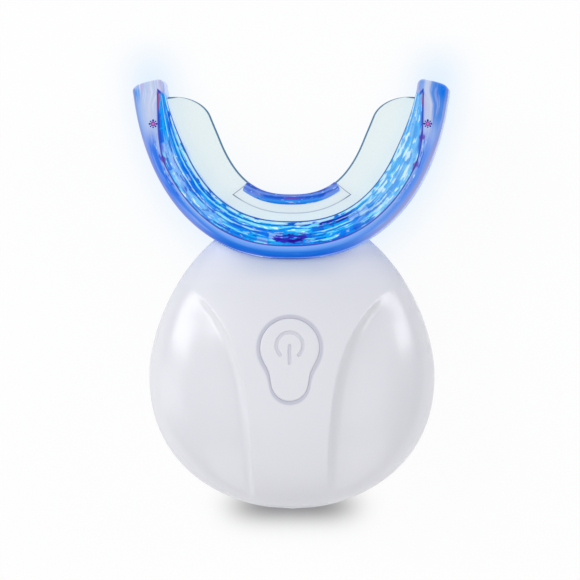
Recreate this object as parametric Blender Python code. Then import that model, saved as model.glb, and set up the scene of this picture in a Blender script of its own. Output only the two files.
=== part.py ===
"""LED teeth whitening light, lying on its back.

+Z points out of the button face, +Y from the handle to the tips of the mouthpiece.
The origin is under the middle of the whole light, on the surface it lies on.
All lengths are in metres.
"""

import math

import bmesh
import bpy
import numpy as np

# Whole light
HANDLE_LENGTH = 0.0522
MOUTHPIECE_LENGTH = 0.0376
SEAT_GAP = 0.0003
OVERRUN = 0.003

# Handle body
BODY_WIDTH = 0.0596
FRONT_HEIGHT = 0.0132
REAR_HEIGHT = 0.0135
REAR_FLAT_CUT = 0.004
WIDEST_FROM_END = 0.0283
WIDEST_TO_APEX = 0.0342
NECK_FROM_WIDEST = 0.0266
NECK_HALF_HEIGHT = 0.0062
SHELL_WALL = 0.0022
LOWER_OUTLINE_POWER = 2.27
UPPER_OUTLINE_POWER = 1.7
LOWER_HEIGHT_POWER = 2.6
FRONT_NECK_POWER = 1.5
REAR_NECK_POWER = 2.2
SECTION_POWER = 2.3
BODY_END_SHARE = 0.94

# Valleys beside the raised middle panel
PANEL_HALF_WIDTH = 0.0074
PANEL_FLARE = 0.0121
PANEL_FLARE_LENGTH = 0.0105
PANEL_FLARE_FROM_WIDEST = 0.0166
VALLEY_DEPTH = 0.0012
VALLEY_BLEND = 0.0026
VALLEY_RETURN = 0.012
VALLEY_TOP_FADE = 0.0065
VALLEY_TOP_FROM_WIDEST = 0.0186
VALLEY_RETURN_SHARE = 0.6
VALLEY_FADE_SHARE = 0.35

# Button opening and button
BUTTON_RADIUS = 0.0065
BUTTON_TOE_RADIUS = 0.0042
BUTTON_CENTRE_DISTANCE = 0.0072
BUTTON_FROM_WIDEST = 0.0053
BUTTON_WAIST = 0.0004
BUTTON_CLEARANCE = 0.0004
BUTTON_FLANGE = 0.0008
BUTTON_FLANGE_THICKNESS = 0.001
BUTTON_EDGE = 0.0004
BUTTON_POST_RADIUS = 0.002
BUTTON_TRAVEL = 0.0006
SYMBOL_RADIUS = 0.0031
SYMBOL_OVER_HEAD = 0.0008
SYMBOL_STROKE = 0.0007
SYMBOL_DEPTH = 0.0003
SYMBOL_BAR = 0.004
SYMBOL_OPENING_TURNS = 0.25
COLLAR_WALL = 0.001
COLLAR_HEIGHT = 0.007
BUTTON_SEAL_THICKNESS = 0.0008

# Seal between the shells
SEAL_INSET = 0.0006
SEAL_GROOVE_WIDTH = 0.001
SEAL_GROOVE_DEPTH = 0.0012
SEAL_SIDE_CLEARANCE = 0.0002

# Screws
SCREW_HEAD_RADIUS = 0.0019
SCREW_HEAD_HEIGHT = 0.0015
SCREW_SHANK_RADIUS = 0.001
SCREW_SHANK_LENGTH = 0.008
SCREW_HEAD_BELOW_PARTING = 0.0065
SCREW_BOSS_RADIUS = 0.0031
SCREW_TO_BOARD = 0.0012
UPPER_SCREW_FROM_WIDEST = 0.0115
LOWER_SCREW_FROM_WIDEST = 0.0144
BOARD_SCREW_LENGTH = 0.004
BOARD_SCREW_RADIUS = 0.0007
BOARD_SCREW_HEAD_RADIUS = 0.0013
BOARD_SCREW_HEAD_HEIGHT = 0.0008

# Board and what it carries
BOARD_WIDTH = 0.03
BOARD_THICKNESS = 0.001
BOARD_BELOW_PARTING = 0.0026
BOARD_FROM_BOTTOM = 0.0094
BOARD_TO_STEM = 0.0045
BOARD_CORNER = 0.002
BOARD_TAB_WIDTH = 0.0116
BOARD_TAB_SETBACK = 0.001
BOARD_POST_RADIUS = 0.0017
BOARD_POST_INSET = 0.0026
SWITCH_SIZE = 0.0062
SWITCH_HEIGHT = 0.0034
SWITCH_FLOOR = 0.0004
PLUNGER_RADIUS = 0.0016
PLUNGER_LENGTH = 0.0036
CHIP_LENGTH = 0.005
CHIP_WIDTH = 0.004
CHIP_HEIGHT = 0.0015
CHARGER_SIZE = 0.003
CHARGER_HEIGHT = 0.0009
INDUCTOR_SIZE = 0.0042
INDUCTOR_HEIGHT = 0.0022
BUZZER_RADIUS = 0.0045
BUZZER_HEIGHT = 0.0032
BUZZER_HOLE_RADIUS = 0.0009
CONNECTOR_WIDTH = 0.005
CONNECTOR_LENGTH = 0.0034
CONNECTOR_SPACING = 0.0008
CONNECTOR_HEIGHT = 0.0028
FLEX_CONNECTOR_SIDE = 0.0012
FLEX_CONNECTOR_LENGTH = 0.0026
FLEX_CONNECTOR_HEIGHT = 0.0019
FLEX_CONNECTOR_DEPTH = 0.0014
FLEX_CONNECTOR_FLOOR = 0.0005

# Battery
BATTERY_WIDTH = 0.02
BATTERY_CORNER = 0.0016
BATTERY_FROM_BOARD_TOP = 0.0031
BATTERY_FROM_BOARD_BOTTOM = 0.0054
BATTERY_TO_BOARD = 0.0023
PAD_THICKNESS = 0.0008
LEAD_RADIUS = 0.0006
LEAD_SPACING = 0.0018

# Charging socket and its stopper
USB_WIDTH = 0.0089
USB_HEIGHT = 0.0032
USB_LENGTH = 0.0073
USB_WALL = 0.0003
USB_BACK = 0.0008
USB_TONGUE_WIDTH = 0.0067
USB_TONGUE_THICKNESS = 0.0007
USB_TONGUE_SETBACK = 0.0013
PORT_WIDTH = 0.011
PORT_HEIGHT = 0.005
PORT_CORNER = 0.0022
PORT_MOUTH_SETBACK = 0.0027
PLUG_TIP_WIDTH = 0.0072
PLUG_TIP_HEIGHT = 0.0018
PLUG_TIP_REACH = 0.0014

# Mouthpiece arch, measured on the outer face of its wall
ARCH_HALF_WIDTH = 0.0336
ARCH_DEPTH = 0.0466
ARCH_POWER = 2.3
TRAY_HEIGHT = 0.0186
TRAY_WALL = 0.0078
TRAY_WALL_AT_TIPS = 0.0067
TRAY_EDGE_RADIUS = 0.0018
TRAY_TIP_CORNER = 0.0016
TRAY_SKIN = 0.0008
POCKET_HEIGHT = 0.0134
GUIDE_TIP_THICKNESS = 0.0011
GUIDE_ROOT_THICKNESS = 0.0021
GUIDE_END_FROM_TIP = 0.0035
BITE_PLATE_THICKNESS = 0.002
BITE_PLATE_WIDTH_FRONT = 0.0056
BITE_PLATE_WIDTH_SIDE = 0.0074
BITE_PLATE_GROW_RUN = 0.044
BITE_PLATE_END_FROM_TIP = 0.0045
BITE_LOBE_ROUND = 0.0072
BITE_LOBE_POWER = 2.2
TONGUE_WALL_THICKNESS = 0.00215
TONGUE_WALL_HEIGHT = 0.009
TONGUE_WALL_HALF_RUN = 0.0172
PIN_RADIUS = 0.0005
PIN_LENGTH = 0.003
PIN_FROM_TIP = 0.01
PIN_INSET = 0.0031

# Light bar inside the tray wall
BACK_PLATE_THICKNESS = 0.0008
FLEX_THICKNESS = 0.0003
FLEX_EDGE_GAP = 0.0004
FLEX_TAIL_WIDTH = 0.008
LAYER_GAP = 0.0002
LED_LENGTH = 0.0035
LED_HEIGHT = 0.0028
LED_THICKNESS = 0.0008
LED_PITCH = 0.0096
LED_FROM_FLEX_EDGE = 0.0008
LED_HEADROOM = 0.0006
LEDS_PER_ROW = 8
HOUSING_WALL = 0.0008

# Stem that the shells trap
STEM_WIDTH = 0.012
STEM_HEIGHT = 0.005
STEM_CORNER = 0.0012
STEM_FLANGE_WIDTH = 0.0155
STEM_FLANGE_HEIGHT = 0.007
STEM_FLANGE_THICKNESS = 0.002
STEM_SEAL_THICKNESS = 0.0006
STEM_SEAL_LENGTH = 0.0016
STEM_RIB_THICKNESS = 0.001

# Smoothness of the curves
BODY_STATIONS = 10
BODY_ANGLES = 26
ARCH_STATIONS = 32
ARCH_SAMPLES = 801
TIP_STATIONS = 5
CORNER_STEPS = 3
KEYHOLE_STEPS = 12
ROUND_SIDES = 14
GRID_DIGITS = 8

# Places that follow from the sizes
BOTTOM_Y = -(HANDLE_LENGTH + MOUTHPIECE_LENGTH) / 2
TOP_Y = -BOTTOM_Y
WIDEST_Y = BOTTOM_Y + WIDEST_FROM_END
ARCH_FRONT_Y = BOTTOM_Y + HANDLE_LENGTH
PARTING_Z = REAR_HEIGHT
REAR_BULGE = REAR_HEIGHT + REAR_FLAT_CUT
FRONT_RIM_Z = PARTING_Z + SEAT_GAP
BODY_TOP_Z = FRONT_RIM_Z + FRONT_HEIGHT
NECK_WALL_BACK_Y = ARCH_FRONT_Y - SEAT_GAP - SHELL_WALL
BUTTON_Y = WIDEST_Y + BUTTON_FROM_WIDEST
BUTTON_TOE_Y = BUTTON_Y - BUTTON_CENTRE_DISTANCE
SYMBOL_Y = BUTTON_Y + SYMBOL_OVER_HEAD
SWITCH_Y = (BUTTON_Y + BUTTON_TOE_Y) / 2
COLLAR_BOTTOM_Z = PARTING_Z + COLLAR_HEIGHT
STEM_FLANGE_BACK_Y = NECK_WALL_BACK_Y - SEAT_GAP - STEM_FLANGE_THICKNESS
SCREW_HEAD_LEVEL = PARTING_Z - SCREW_HEAD_BELOW_PARTING
SCREW_X = BOARD_WIDTH / 2 + SCREW_TO_BOARD + SCREW_BOSS_RADIUS
BOARD_LEVEL = PARTING_Z - BOARD_BELOW_PARTING
BOARD_TOP_Z = BOARD_LEVEL + BOARD_THICKNESS
BOARD_BOTTOM_Y = BOTTOM_Y + BOARD_FROM_BOTTOM
BOARD_TOP_Y = STEM_FLANGE_BACK_Y - BOARD_TO_STEM
BOARD_LENGTH = BOARD_TOP_Y - BOARD_BOTTOM_Y
PART_SEAT_Z = BOARD_TOP_Z + SEAT_GAP
PLUNGER_LIFT = BUTTON_TRAVEL + 2 * SEAT_GAP
PORT_Z = PART_SEAT_Z + USB_HEIGHT / 2
USB_MOUTH_Y = BOTTOM_Y + PORT_MOUTH_SETBACK
FLEX_CONNECTOR_WIDTH = FLEX_TAIL_WIDTH + 2 * FLEX_CONNECTOR_SIDE
HOUSING_INNER = TRAY_WALL - TRAY_SKIN - SEAT_GAP
LED_INNER = HOUSING_INNER - HOUSING_WALL - LED_HEADROOM
LED_OUTER = LED_INNER - LED_THICKNESS
FLEX_INNER = LED_OUTER - LAYER_GAP
FLEX_OUTER = FLEX_INNER - FLEX_THICKNESS
BACK_PLATE_INNER = FLEX_OUTER - LAYER_GAP
BACK_PLATE_OUTER = BACK_PLATE_INNER - BACK_PLATE_THICKNESS
POCKET_OUTER = BACK_PLATE_OUTER - SEAT_GAP
HOUSING_HALF_HEIGHT = POCKET_HEIGHT / 2 - SEAT_GAP
FLEX_HALF_HEIGHT = HOUSING_HALF_HEIGHT - HOUSING_WALL - FLEX_EDGE_GAP
LED_ROW_OFFSET = FLEX_HALF_HEIGHT - LED_FROM_FLEX_EDGE - LED_HEIGHT / 2
FLEX_TAIL_Z = PART_SEAT_Z + FLEX_CONNECTOR_FLOOR + SEAT_GAP + FLEX_THICKNESS / 2
LED_END_RUN = LED_PITCH * (LEDS_PER_ROW - 1) / 2 + LED_LENGTH / 2 + HOUSING_WALL

CASE_SCREWS = [
    (SCREW_X, WIDEST_Y + UPPER_SCREW_FROM_WIDEST),
    (-SCREW_X, WIDEST_Y + UPPER_SCREW_FROM_WIDEST),
    (SCREW_X, WIDEST_Y - LOWER_SCREW_FROM_WIDEST),
    (-SCREW_X, WIDEST_Y - LOWER_SCREW_FROM_WIDEST),
]
BOARD_POST_X = BOARD_WIDTH / 2 - BOARD_POST_INSET
BOARD_POSTS = [
    (BOARD_POST_X, BOARD_TOP_Y - BOARD_POST_INSET),
    (-BOARD_POST_X, BOARD_BOTTOM_Y + BOARD_POST_INSET),
    (BOARD_POST_X, BOARD_BOTTOM_Y + BOARD_POST_INSET),
    (-BOARD_POST_X, BOARD_TOP_Y - BOARD_POST_INSET),
]


def clear_scene():
    for item in list(bpy.data.objects):
        bpy.data.objects.remove(item, do_unlink=True)


def finish(name, colour, roughness, metallic=0.0, alpha=1.0, glow=0.0):
    """One Principled material."""
    mat = bpy.data.materials.new(name)
    mat.use_nodes = True
    shader = mat.node_tree.nodes["Principled BSDF"]
    shader.inputs["Base Color"].default_value = (*colour, 1.0)
    shader.inputs["Roughness"].default_value = roughness
    shader.inputs["Metallic"].default_value = metallic
    shader.inputs["Alpha"].default_value = alpha
    shader.inputs["Emission Color"].default_value = (*colour, 1.0)
    shader.inputs["Emission Strength"].default_value = glow
    mat.diffuse_color = (*colour, alpha)
    return mat


def smoothstep(value):
    value = min(max(value, 0.0), 1.0)
    return value * value * (3 - 2 * value)


def snapped(point):
    """The point on a very fine grid, so that the left and right sides match exactly."""
    return [round(value, GRID_DIGITS) for value in point]


def solid(name, rings, mat=None, first_point=None, last_point=None, smooth=True):
    """Closed loft through rings of points, capped by faces or brought to a point."""
    work = bmesh.new()
    loops = [[work.verts.new(snapped(point)) for point in ring] for ring in rings]
    for one, two in zip(loops, loops[1:]):
        count = len(one)
        for k in range(count):
            after = (k + 1) % count
            work.faces.new((one[k], one[after], two[after], two[k]))
    for loop, point in ((loops[0], first_point), (loops[-1], last_point)):
        if point is None:
            work.faces.new(loop)
        else:
            tip = work.verts.new(snapped(point))
            for k, corner in enumerate(loop):
                work.faces.new((corner, loop[(k + 1) % len(loop)], tip))
    bmesh.ops.recalc_face_normals(work, faces=work.faces)
    mesh = bpy.data.meshes.new(name)
    work.to_mesh(mesh)
    work.free()
    item = bpy.data.objects.new(name, mesh)
    bpy.context.scene.collection.objects.link(item)
    if mat:
        mesh.materials.append(mat)
    if smooth:
        mesh.shade_smooth()
        mesh.set_sharp_from_angle(angle=math.radians(35))
    return item


def as_tool(item):
    """Mark an object as a shape that only cuts or joins others."""
    item.hide_render = True
    item.display_type = "WIRE"
    return item


def combine(item, operation, *tools):
    for tool in tools:
        step = item.modifiers.new(f"{operation} {tool.name}", "BOOLEAN")
        step.operation = operation
        step.solver = "EXACT"
        step.object = as_tool(tool)
    return item


def cut(item, *tools):
    return combine(item, "DIFFERENCE", *tools)


def join(item, *tools):
    return combine(item, "UNION", *tools)


def keep_inside(item, *tools):
    return combine(item, "INTERSECT", *tools)


def rounded(width, height, radius):
    """Rounded rectangle about zero, as pairs."""
    points = []
    corners = ((1, 1, 0), (-1, 1, 1), (-1, -1, 2), (1, -1, 3))
    for side, rise, quarter in corners:
        for step in range(CORNER_STEPS + 1):
            turn = (quarter + step / CORNER_STEPS) * math.pi / 2
            across = side * (width / 2 - radius) + radius * math.cos(turn)
            up = rise * (height / 2 - radius) + radius * math.sin(turn)
            points.append((across, up))
    return points


def upright(name, outline, low, high, mat=None, centre=(0, 0)):
    """Outline in X and Y, raised from one level to another."""
    rings = [[(x + centre[0], y + centre[1], z) for x, y in outline] for z in (low, high)]
    return solid(name, rings, mat)


def lengthwise(name, outline, start, end, mat=None, level=0.0, across=0.0):
    """Outline in X and Z, run along Y."""
    rings = [[(x + across, y, z + level) for x, z in outline] for y in (start, end)]
    return solid(name, rings, mat)


def block(name, width, length, low, high, centre, mat=None):
    outline = [(-width / 2, -length / 2), (width / 2, -length / 2),
               (width / 2, length / 2), (-width / 2, length / 2)]
    return upright(name, outline, low, high, mat, centre)


def circle(radius, sides=ROUND_SIDES):
    turns = [2 * math.pi * k / sides for k in range(sides)]
    return [(radius * math.cos(turn), radius * math.sin(turn)) for turn in turns]


def post(name, radius, low, high, centre, mat=None):
    return upright(name, circle(radius), low, high, mat, centre)


# Handle surfaces

def half_width(y, inset=0.0):
    """Half width of the egg outline at a place along the handle."""
    most = BODY_WIDTH / 2 - inset
    if y < WIDEST_Y:
        share = (WIDEST_Y - y) / (WIDEST_FROM_END - inset)
        power = LOWER_OUTLINE_POWER
    else:
        share = (y - WIDEST_Y) / (WIDEST_TO_APEX - inset)
        power = UPPER_OUTLINE_POWER
    return most * math.sqrt(max(1 - share ** power, 0.0))


def rise(y, most, slope_power, inset=0.0):
    """Height of the front or rear surface over the parting plane on the centre line."""
    if y < WIDEST_Y:
        share = (WIDEST_Y - y) / (WIDEST_FROM_END - inset)
        return (most - inset) * math.sqrt(max(1 - share ** LOWER_HEIGHT_POWER, 0.0))
    share = min((y - WIDEST_Y) / NECK_FROM_WIDEST, 1.0)
    drop = smoothstep(share ** slope_power)
    return most - inset - (most - NECK_HALF_HEIGHT) * drop


def valley(x, y, inset=0.0):
    """Depth of the swooping valleys beside the raised middle panel."""
    width = half_width(y, inset)
    flare_y = WIDEST_Y + PANEL_FLARE_FROM_WIDEST
    edge = PANEL_HALF_WIDTH + PANEL_FLARE * math.exp((y - flare_y) / PANEL_FLARE_LENGTH)
    past = abs(x) - edge
    down = smoothstep(past / VALLEY_BLEND)
    back = 1 - VALLEY_RETURN_SHARE * smoothstep((past - VALLEY_BLEND) / VALLEY_RETURN)
    side_fade = smoothstep((width - abs(x)) / VALLEY_RETURN)
    top_fade = smoothstep((WIDEST_Y + VALLEY_TOP_FROM_WIDEST - y) / VALLEY_TOP_FADE)
    return VALLEY_DEPTH * down * back * side_fade * top_fade


def front_z(x, y, inset=0.0):
    width = half_width(y, inset)
    share = min(abs(x) / width, 1.0) if width > 0 else 1.0
    lift = rise(y, FRONT_HEIGHT, FRONT_NECK_POWER, inset)
    lift *= (1 - share ** SECTION_POWER) ** (1 / SECTION_POWER)
    bottom_fade = smoothstep(lift / (FRONT_HEIGHT * VALLEY_FADE_SHARE))
    return FRONT_RIM_Z + lift - valley(x, y, inset) * bottom_fade


def rear_z(x, y, inset=0.0):
    width = half_width(y, inset)
    share = min(abs(x) / width, 1.0) if width > 0 else 1.0
    drop = rise(y, REAR_BULGE, REAR_NECK_POWER, inset)
    drop *= (1 - share ** SECTION_POWER) ** (1 / SECTION_POWER)
    return max(PARTING_Z - drop, inset)


def body_stations(inset=0.0):
    """Places along the handle, closer together towards its round bottom end."""
    stations = []
    for k in range(1, BODY_STATIONS + 1):
        turn = k / BODY_STATIONS * math.pi / 2
        stations.append(WIDEST_Y - (WIDEST_FROM_END - inset) * math.cos(turn))
    reach = (WIDEST_TO_APEX - inset) * BODY_END_SHARE
    for k in range(1, BODY_STATIONS + 1):
        stations.append(WIDEST_Y + reach * k / BODY_STATIONS)
    return stations


def body_half(name, surface, rim, inset=0.0, mat=None):
    """Half of the handle as a closed solid, flat on the parting plane."""
    rings = []
    for y in body_stations(inset):
        ring = []
        for k in range(BODY_ANGLES + 1):
            turn = math.pi * k / BODY_ANGLES
            away = abs(math.cos(turn)) ** (2 / SECTION_POWER)
            x = math.copysign(half_width(y, inset) * away, math.cos(turn))
            ends = k in (0, BODY_ANGLES)
            ring.append((x, y, rim if ends else surface(x, y, inset)))
        rings.append(ring)
    end = (0, BOTTOM_Y + inset, rim)
    return solid(name, rings, mat, first_point=end)


def keyhole(grow=0.0):
    """Outline of the button opening: round head, drawn-in sides, round toe."""
    head = BUTTON_RADIUS + grow
    toe = BUTTON_TOE_RADIUS + grow
    lean = math.asin((head - toe) / BUTTON_CENTRE_DISTANCE)
    right = []
    for k in range(KEYHOLE_STEPS + 1):
        turn = math.pi / 2 - (math.pi / 2 + lean) * k / KEYHOLE_STEPS
        right.append((head * math.cos(turn), BUTTON_Y + head * math.sin(turn)))
    start = right[-1]
    end = (toe * math.cos(lean), BUTTON_TOE_Y - toe * math.sin(lean))
    side_steps = KEYHOLE_STEPS // 2
    for k in range(1, side_steps):
        share = k / side_steps
        bow = BUTTON_WAIST * math.sin(math.pi * share) ** 2
        x = start[0] + (end[0] - start[0]) * share - bow
        right.append((x, start[1] + (end[1] - start[1]) * share))
    for k in range(side_steps + 1):
        turn = -lean - (math.pi / 2 - lean) * k / side_steps
        right.append((toe * math.cos(turn), BUTTON_TOE_Y + toe * math.sin(turn)))
    left = [(-x, y) for x, y in reversed(right[1:-1])]
    return right + left


# Mouthpiece arch

def arch_samples():
    """Distance along the arch from its middle, with the place and inward direction there."""
    reach = math.pi / 2
    turn = np.linspace(-reach, reach, ARCH_SAMPLES)
    across = np.sign(turn) * ARCH_HALF_WIDTH * np.abs(np.sin(turn)) ** (2 / ARCH_POWER)
    along = ARCH_FRONT_Y + ARCH_DEPTH * (1 - np.abs(np.cos(turn)) ** (2 / ARCH_POWER))
    steps = np.hypot(np.diff(across), np.diff(along))
    run = np.concatenate(([0.0], np.cumsum(steps)))
    run -= run[-1] / 2
    slope_x = np.gradient(across, run)
    slope_y = np.gradient(along, run)
    size = np.hypot(slope_x, slope_y)
    return run, across, along, -slope_y / size, slope_x / size


RUN, ARCH_X, ARCH_Y, INWARD_X, INWARD_Y = arch_samples()


def arch_point(run, inward, level):
    """A place at a distance along the arch, in from its outer face, over the bite plane."""
    x = np.interp(run, RUN, ARCH_X) + inward * np.interp(run, RUN, INWARD_X)
    y = np.interp(run, RUN, ARCH_Y) + inward * np.interp(run, RUN, INWARD_Y)
    return (float(x), float(y), PARTING_Z + level)


def run_at(y, inward):
    """Distance along the right arm where it reaches a place along Y."""
    right = RUN > 0
    reached = ARCH_Y[right] + inward * INWARD_Y[right]
    return float(np.interp(y, reached, RUN[right]))


TIP_RUN = run_at(TOP_Y, TRAY_WALL_AT_TIPS - TRAY_TIP_CORNER)
GUIDE_END_RUN = TIP_RUN - GUIDE_END_FROM_TIP


def wall_at(run):
    """Thickness of the tray wall, less towards the tips."""
    share = smoothstep((abs(run) - LED_END_RUN) / (TIP_RUN - LED_END_RUN))
    return TRAY_WALL + (TRAY_WALL_AT_TIPS - TRAY_WALL) * share


def spread(start, end, count):
    return [start + (end - start) * k / count for k in range(count + 1)]


def along_arch(name, runs, section_at, mat=None):
    rings = [[arch_point(run, inward, level) for inward, level in section_at(run)] for run in runs]
    return solid(name, rings, mat)


def band(outer, inner, half_height):
    """Plain section of something that follows the arch, the same all along."""
    corners = [(outer, -half_height), (inner, -half_height), (inner, half_height), (outer, half_height)]
    return lambda run: corners


def tray_section(run):
    """Rounded section of the tray wall, drawn in at the tips."""
    wall = wall_at(run)
    into = max(TRAY_TIP_CORNER - (TIP_RUN - abs(run)), 0.0)
    drawn = TRAY_TIP_CORNER - math.sqrt(max(TRAY_TIP_CORNER ** 2 - into ** 2, 0.0))
    narrow = 1 - 2 * drawn / wall
    low = 1 - 2 * drawn / TRAY_HEIGHT
    section = rounded(wall, TRAY_HEIGHT, TRAY_EDGE_RADIUS)
    return [(wall / 2 + across * narrow, level * low) for across, level in section]


def round_ended_runs(end, round_length):
    """Stations along the arch, closer together where the ends turn round."""
    straight = end - round_length
    tips = []
    for k in range(1, TIP_STATIONS + 1):
        turn = k / (TIP_STATIONS + 0.5) * math.pi / 2
        tips.append(straight + round_length * math.sin(turn))
    middle = spread(-straight, straight, ARCH_STATIONS)
    return [-run for run in reversed(tips)] + middle + tips


def bite_plate_width(run):
    """Width of the bite plate: narrow at the front teeth, rounded lobes at the ends."""
    grow = smoothstep(abs(run) / BITE_PLATE_GROW_RUN)
    width = BITE_PLATE_WIDTH_FRONT + (BITE_PLATE_WIDTH_SIDE - BITE_PLATE_WIDTH_FRONT) * grow
    left = TIP_RUN - BITE_PLATE_END_FROM_TIP - abs(run)
    into = min(max(1 - left / BITE_LOBE_ROUND, 0.0), 1.0)
    return width * math.sqrt(1 - into ** BITE_LOBE_POWER)


def bite_plate_section(run):
    wall = wall_at(run)
    start = wall - TRAY_SKIN / 2
    end = wall + max(bite_plate_width(run), TRAY_SKIN)
    half = BITE_PLATE_THICKNESS / 2
    return [(start, -half), (end, -half), (end, half), (start, half)]


def tongue_section(run):
    """Low wall on the inner edge of the bite plate."""
    far = TRAY_WALL + bite_plate_width(run)
    near = far - TONGUE_WALL_THICKNESS
    half = TONGUE_WALL_HEIGHT / 2
    return [(near, -half), (far + SEAT_GAP, -half), (far + SEAT_GAP, half), (near, half)]


def guide_section(run):
    """Solid tapering end of the light bar, past the last light."""
    share = (abs(run) - LED_END_RUN) / (GUIDE_END_RUN - LED_END_RUN)
    thick = GUIDE_ROOT_THICKNESS + (GUIDE_TIP_THICKNESS - GUIDE_ROOT_THICKNESS) * max(share, 0.0)
    inner = wall_at(run) - TRAY_SKIN - SEAT_GAP
    half = HOUSING_HALF_HEIGHT
    return [(inner - thick, -half), (inner, -half), (inner, half), (inner - thick, half)]


def guide_pocket_section(run):
    gaps = SEAT_GAP
    (outer, low), (inner, _), (_, high), _ = guide_section(run)
    return [(outer - gaps, low - gaps), (inner + gaps, low - gaps),
            (inner + gaps, high + gaps), (outer - gaps, high + gaps)]


# Pieces of the handle

def arch_cutter(name, gap):
    """Everything on the mouthpiece side of the tray's outer face, less a gap."""
    runs = spread(-LED_END_RUN, LED_END_RUN, ARCH_STATIONS)
    outline = [arch_point(run, -gap, 0)[:2] for run in runs]
    return upright(name, outline, -OVERRUN, BODY_TOP_Z + OVERRUN)


def port_outline(clearance=0.0):
    return rounded(PORT_WIDTH - 2 * clearance, PORT_HEIGHT - 2 * clearance, PORT_CORNER - clearance)


def port_opening(name):
    return lengthwise(name, port_outline(), BOTTOM_Y - OVERRUN, USB_MOUTH_Y, level=PORT_Z)


def socket_room(name):
    """Clear room for the socket, so that the shells never touch it."""
    grow = 2 * SEAT_GAP
    outline = rounded(USB_WIDTH + grow, USB_HEIGHT + grow, USB_HEIGHT / 2)
    start = USB_MOUTH_Y - SEAT_GAP
    return lengthwise(name, outline, start, USB_MOUTH_Y + USB_LENGTH + SEAT_GAP, level=PORT_Z)


def neck_opening(name):
    grow = 2 * (STEM_SEAL_THICKNESS + 2 * SEAT_GAP)
    outline = rounded(STEM_WIDTH + grow, STEM_HEIGHT + grow, STEM_CORNER + grow / 2)
    start = NECK_WALL_BACK_Y - OVERRUN / 2
    return lengthwise(name, outline, start, ARCH_FRONT_Y + OVERRUN, level=PARTING_Z)


def hollow(name, surface, rim):
    """Inside of one shell, ending before the neck wall."""
    inside = body_half(name, surface, rim, SHELL_WALL)
    return cut(inside, arch_cutter(f"{name}_end", SEAT_GAP + SHELL_WALL))


def front_shell(mat):
    shell = body_half("front_shell", front_z, FRONT_RIM_Z, 0.0, mat)
    cut(shell, hollow("front_hollow", front_z, PARTING_Z - OVERRUN), port_opening("front_port"),
        socket_room("front_socket_room"))
    core = body_half("front_core", front_z, PARTING_Z, SHELL_WALL / 2)
    for number, place in enumerate(CASE_SCREWS, 1):
        top = BODY_TOP_Z
        boss = post(f"front_boss_{number}", SCREW_BOSS_RADIUS, FRONT_RIM_Z, top, place)
        join(shell, keep_inside(boss, core))
        pilot = SCREW_HEAD_LEVEL + SCREW_HEAD_HEIGHT + SCREW_SHANK_LENGTH + SEAT_GAP
        hole = SCREW_SHANK_RADIUS + SEAT_GAP
        cut(shell, post(f"pilot_{number}", hole, PARTING_Z - OVERRUN, pilot, place))
    outer = BUTTON_FLANGE + BUTTON_CLEARANCE + COLLAR_WALL
    collar = upright("collar", keyhole(outer), COLLAR_BOTTOM_Z, BODY_TOP_Z)
    keep_inside(collar, core)
    inner = keyhole(BUTTON_FLANGE + BUTTON_CLEARANCE)
    room = body_half("collar_room", front_z, PARTING_Z, SHELL_WALL)
    bore = upright("collar_bore", inner, COLLAR_BOTTOM_Z - OVERRUN, BODY_TOP_Z)
    join(shell, collar)
    cut(shell, keep_inside(bore, room))
    top = BODY_TOP_Z + OVERRUN
    cut(shell, upright("button_opening", keyhole(), COLLAR_BOTTOM_Z, top))
    return cut(shell, arch_cutter("front_neck_end", SEAT_GAP), neck_opening("front_neck_opening"))


def rear_shell(mat):
    shell = body_half("rear_shell", rear_z, PARTING_Z, 0.0, mat)
    cut(shell, hollow("rear_hollow", rear_z, PARTING_Z + OVERRUN), port_opening("rear_port"),
        socket_room("rear_socket_room"))
    core = body_half("rear_core", rear_z, PARTING_Z, SHELL_WALL / 2)
    for number, place in enumerate(CASE_SCREWS, 1):
        boss = post(f"rear_boss_{number}", SCREW_BOSS_RADIUS, 0, PARTING_Z, place)
        join(shell, keep_inside(boss, core))
        seat = SCREW_HEAD_LEVEL + SCREW_HEAD_HEIGHT + SEAT_GAP
        wide = SCREW_HEAD_RADIUS + SEAT_GAP
        narrow = SCREW_SHANK_RADIUS + SEAT_GAP
        cut(shell, post(f"counterbore_{number}", wide, -OVERRUN, seat, place))
        cut(shell, post(f"clearance_{number}", narrow, 0, PARTING_Z + OVERRUN, place))
    for number, place in enumerate(BOARD_POSTS, 1):
        top = BOARD_LEVEL - SEAT_GAP
        stand = post(f"board_post_{number}", BOARD_POST_RADIUS, 0, top, place)
        join(shell, keep_inside(stand, core))
        if number <= 2:
            hole = BOARD_SCREW_RADIUS + LAYER_GAP
            depth = BOARD_TOP_Z - BOARD_SCREW_LENGTH
            cut(shell, post(f"board_pilot_{number}", hole, depth, PARTING_Z, place))
    rib_y = STEM_FLANGE_BACK_Y - 2 * SEAT_GAP - STEM_RIB_THICKNESS / 2
    rib_top = FLEX_TAIL_Z - FLEX_THICKNESS - SEAT_GAP
    rib = block("stem_rib", STEM_FLANGE_WIDTH, STEM_RIB_THICKNESS, 0, rib_top, (0, rib_y))
    join(shell, keep_inside(rib, core))
    for name, side in (("left", -1), ("right", 1)):
        cut(shell, seal_strip(f"seal_groove_{name}", side, PARTING_Z + OVERRUN))
    return cut(shell, arch_cutter("rear_neck_end", SEAT_GAP), neck_opening("rear_neck_opening"))


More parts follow.
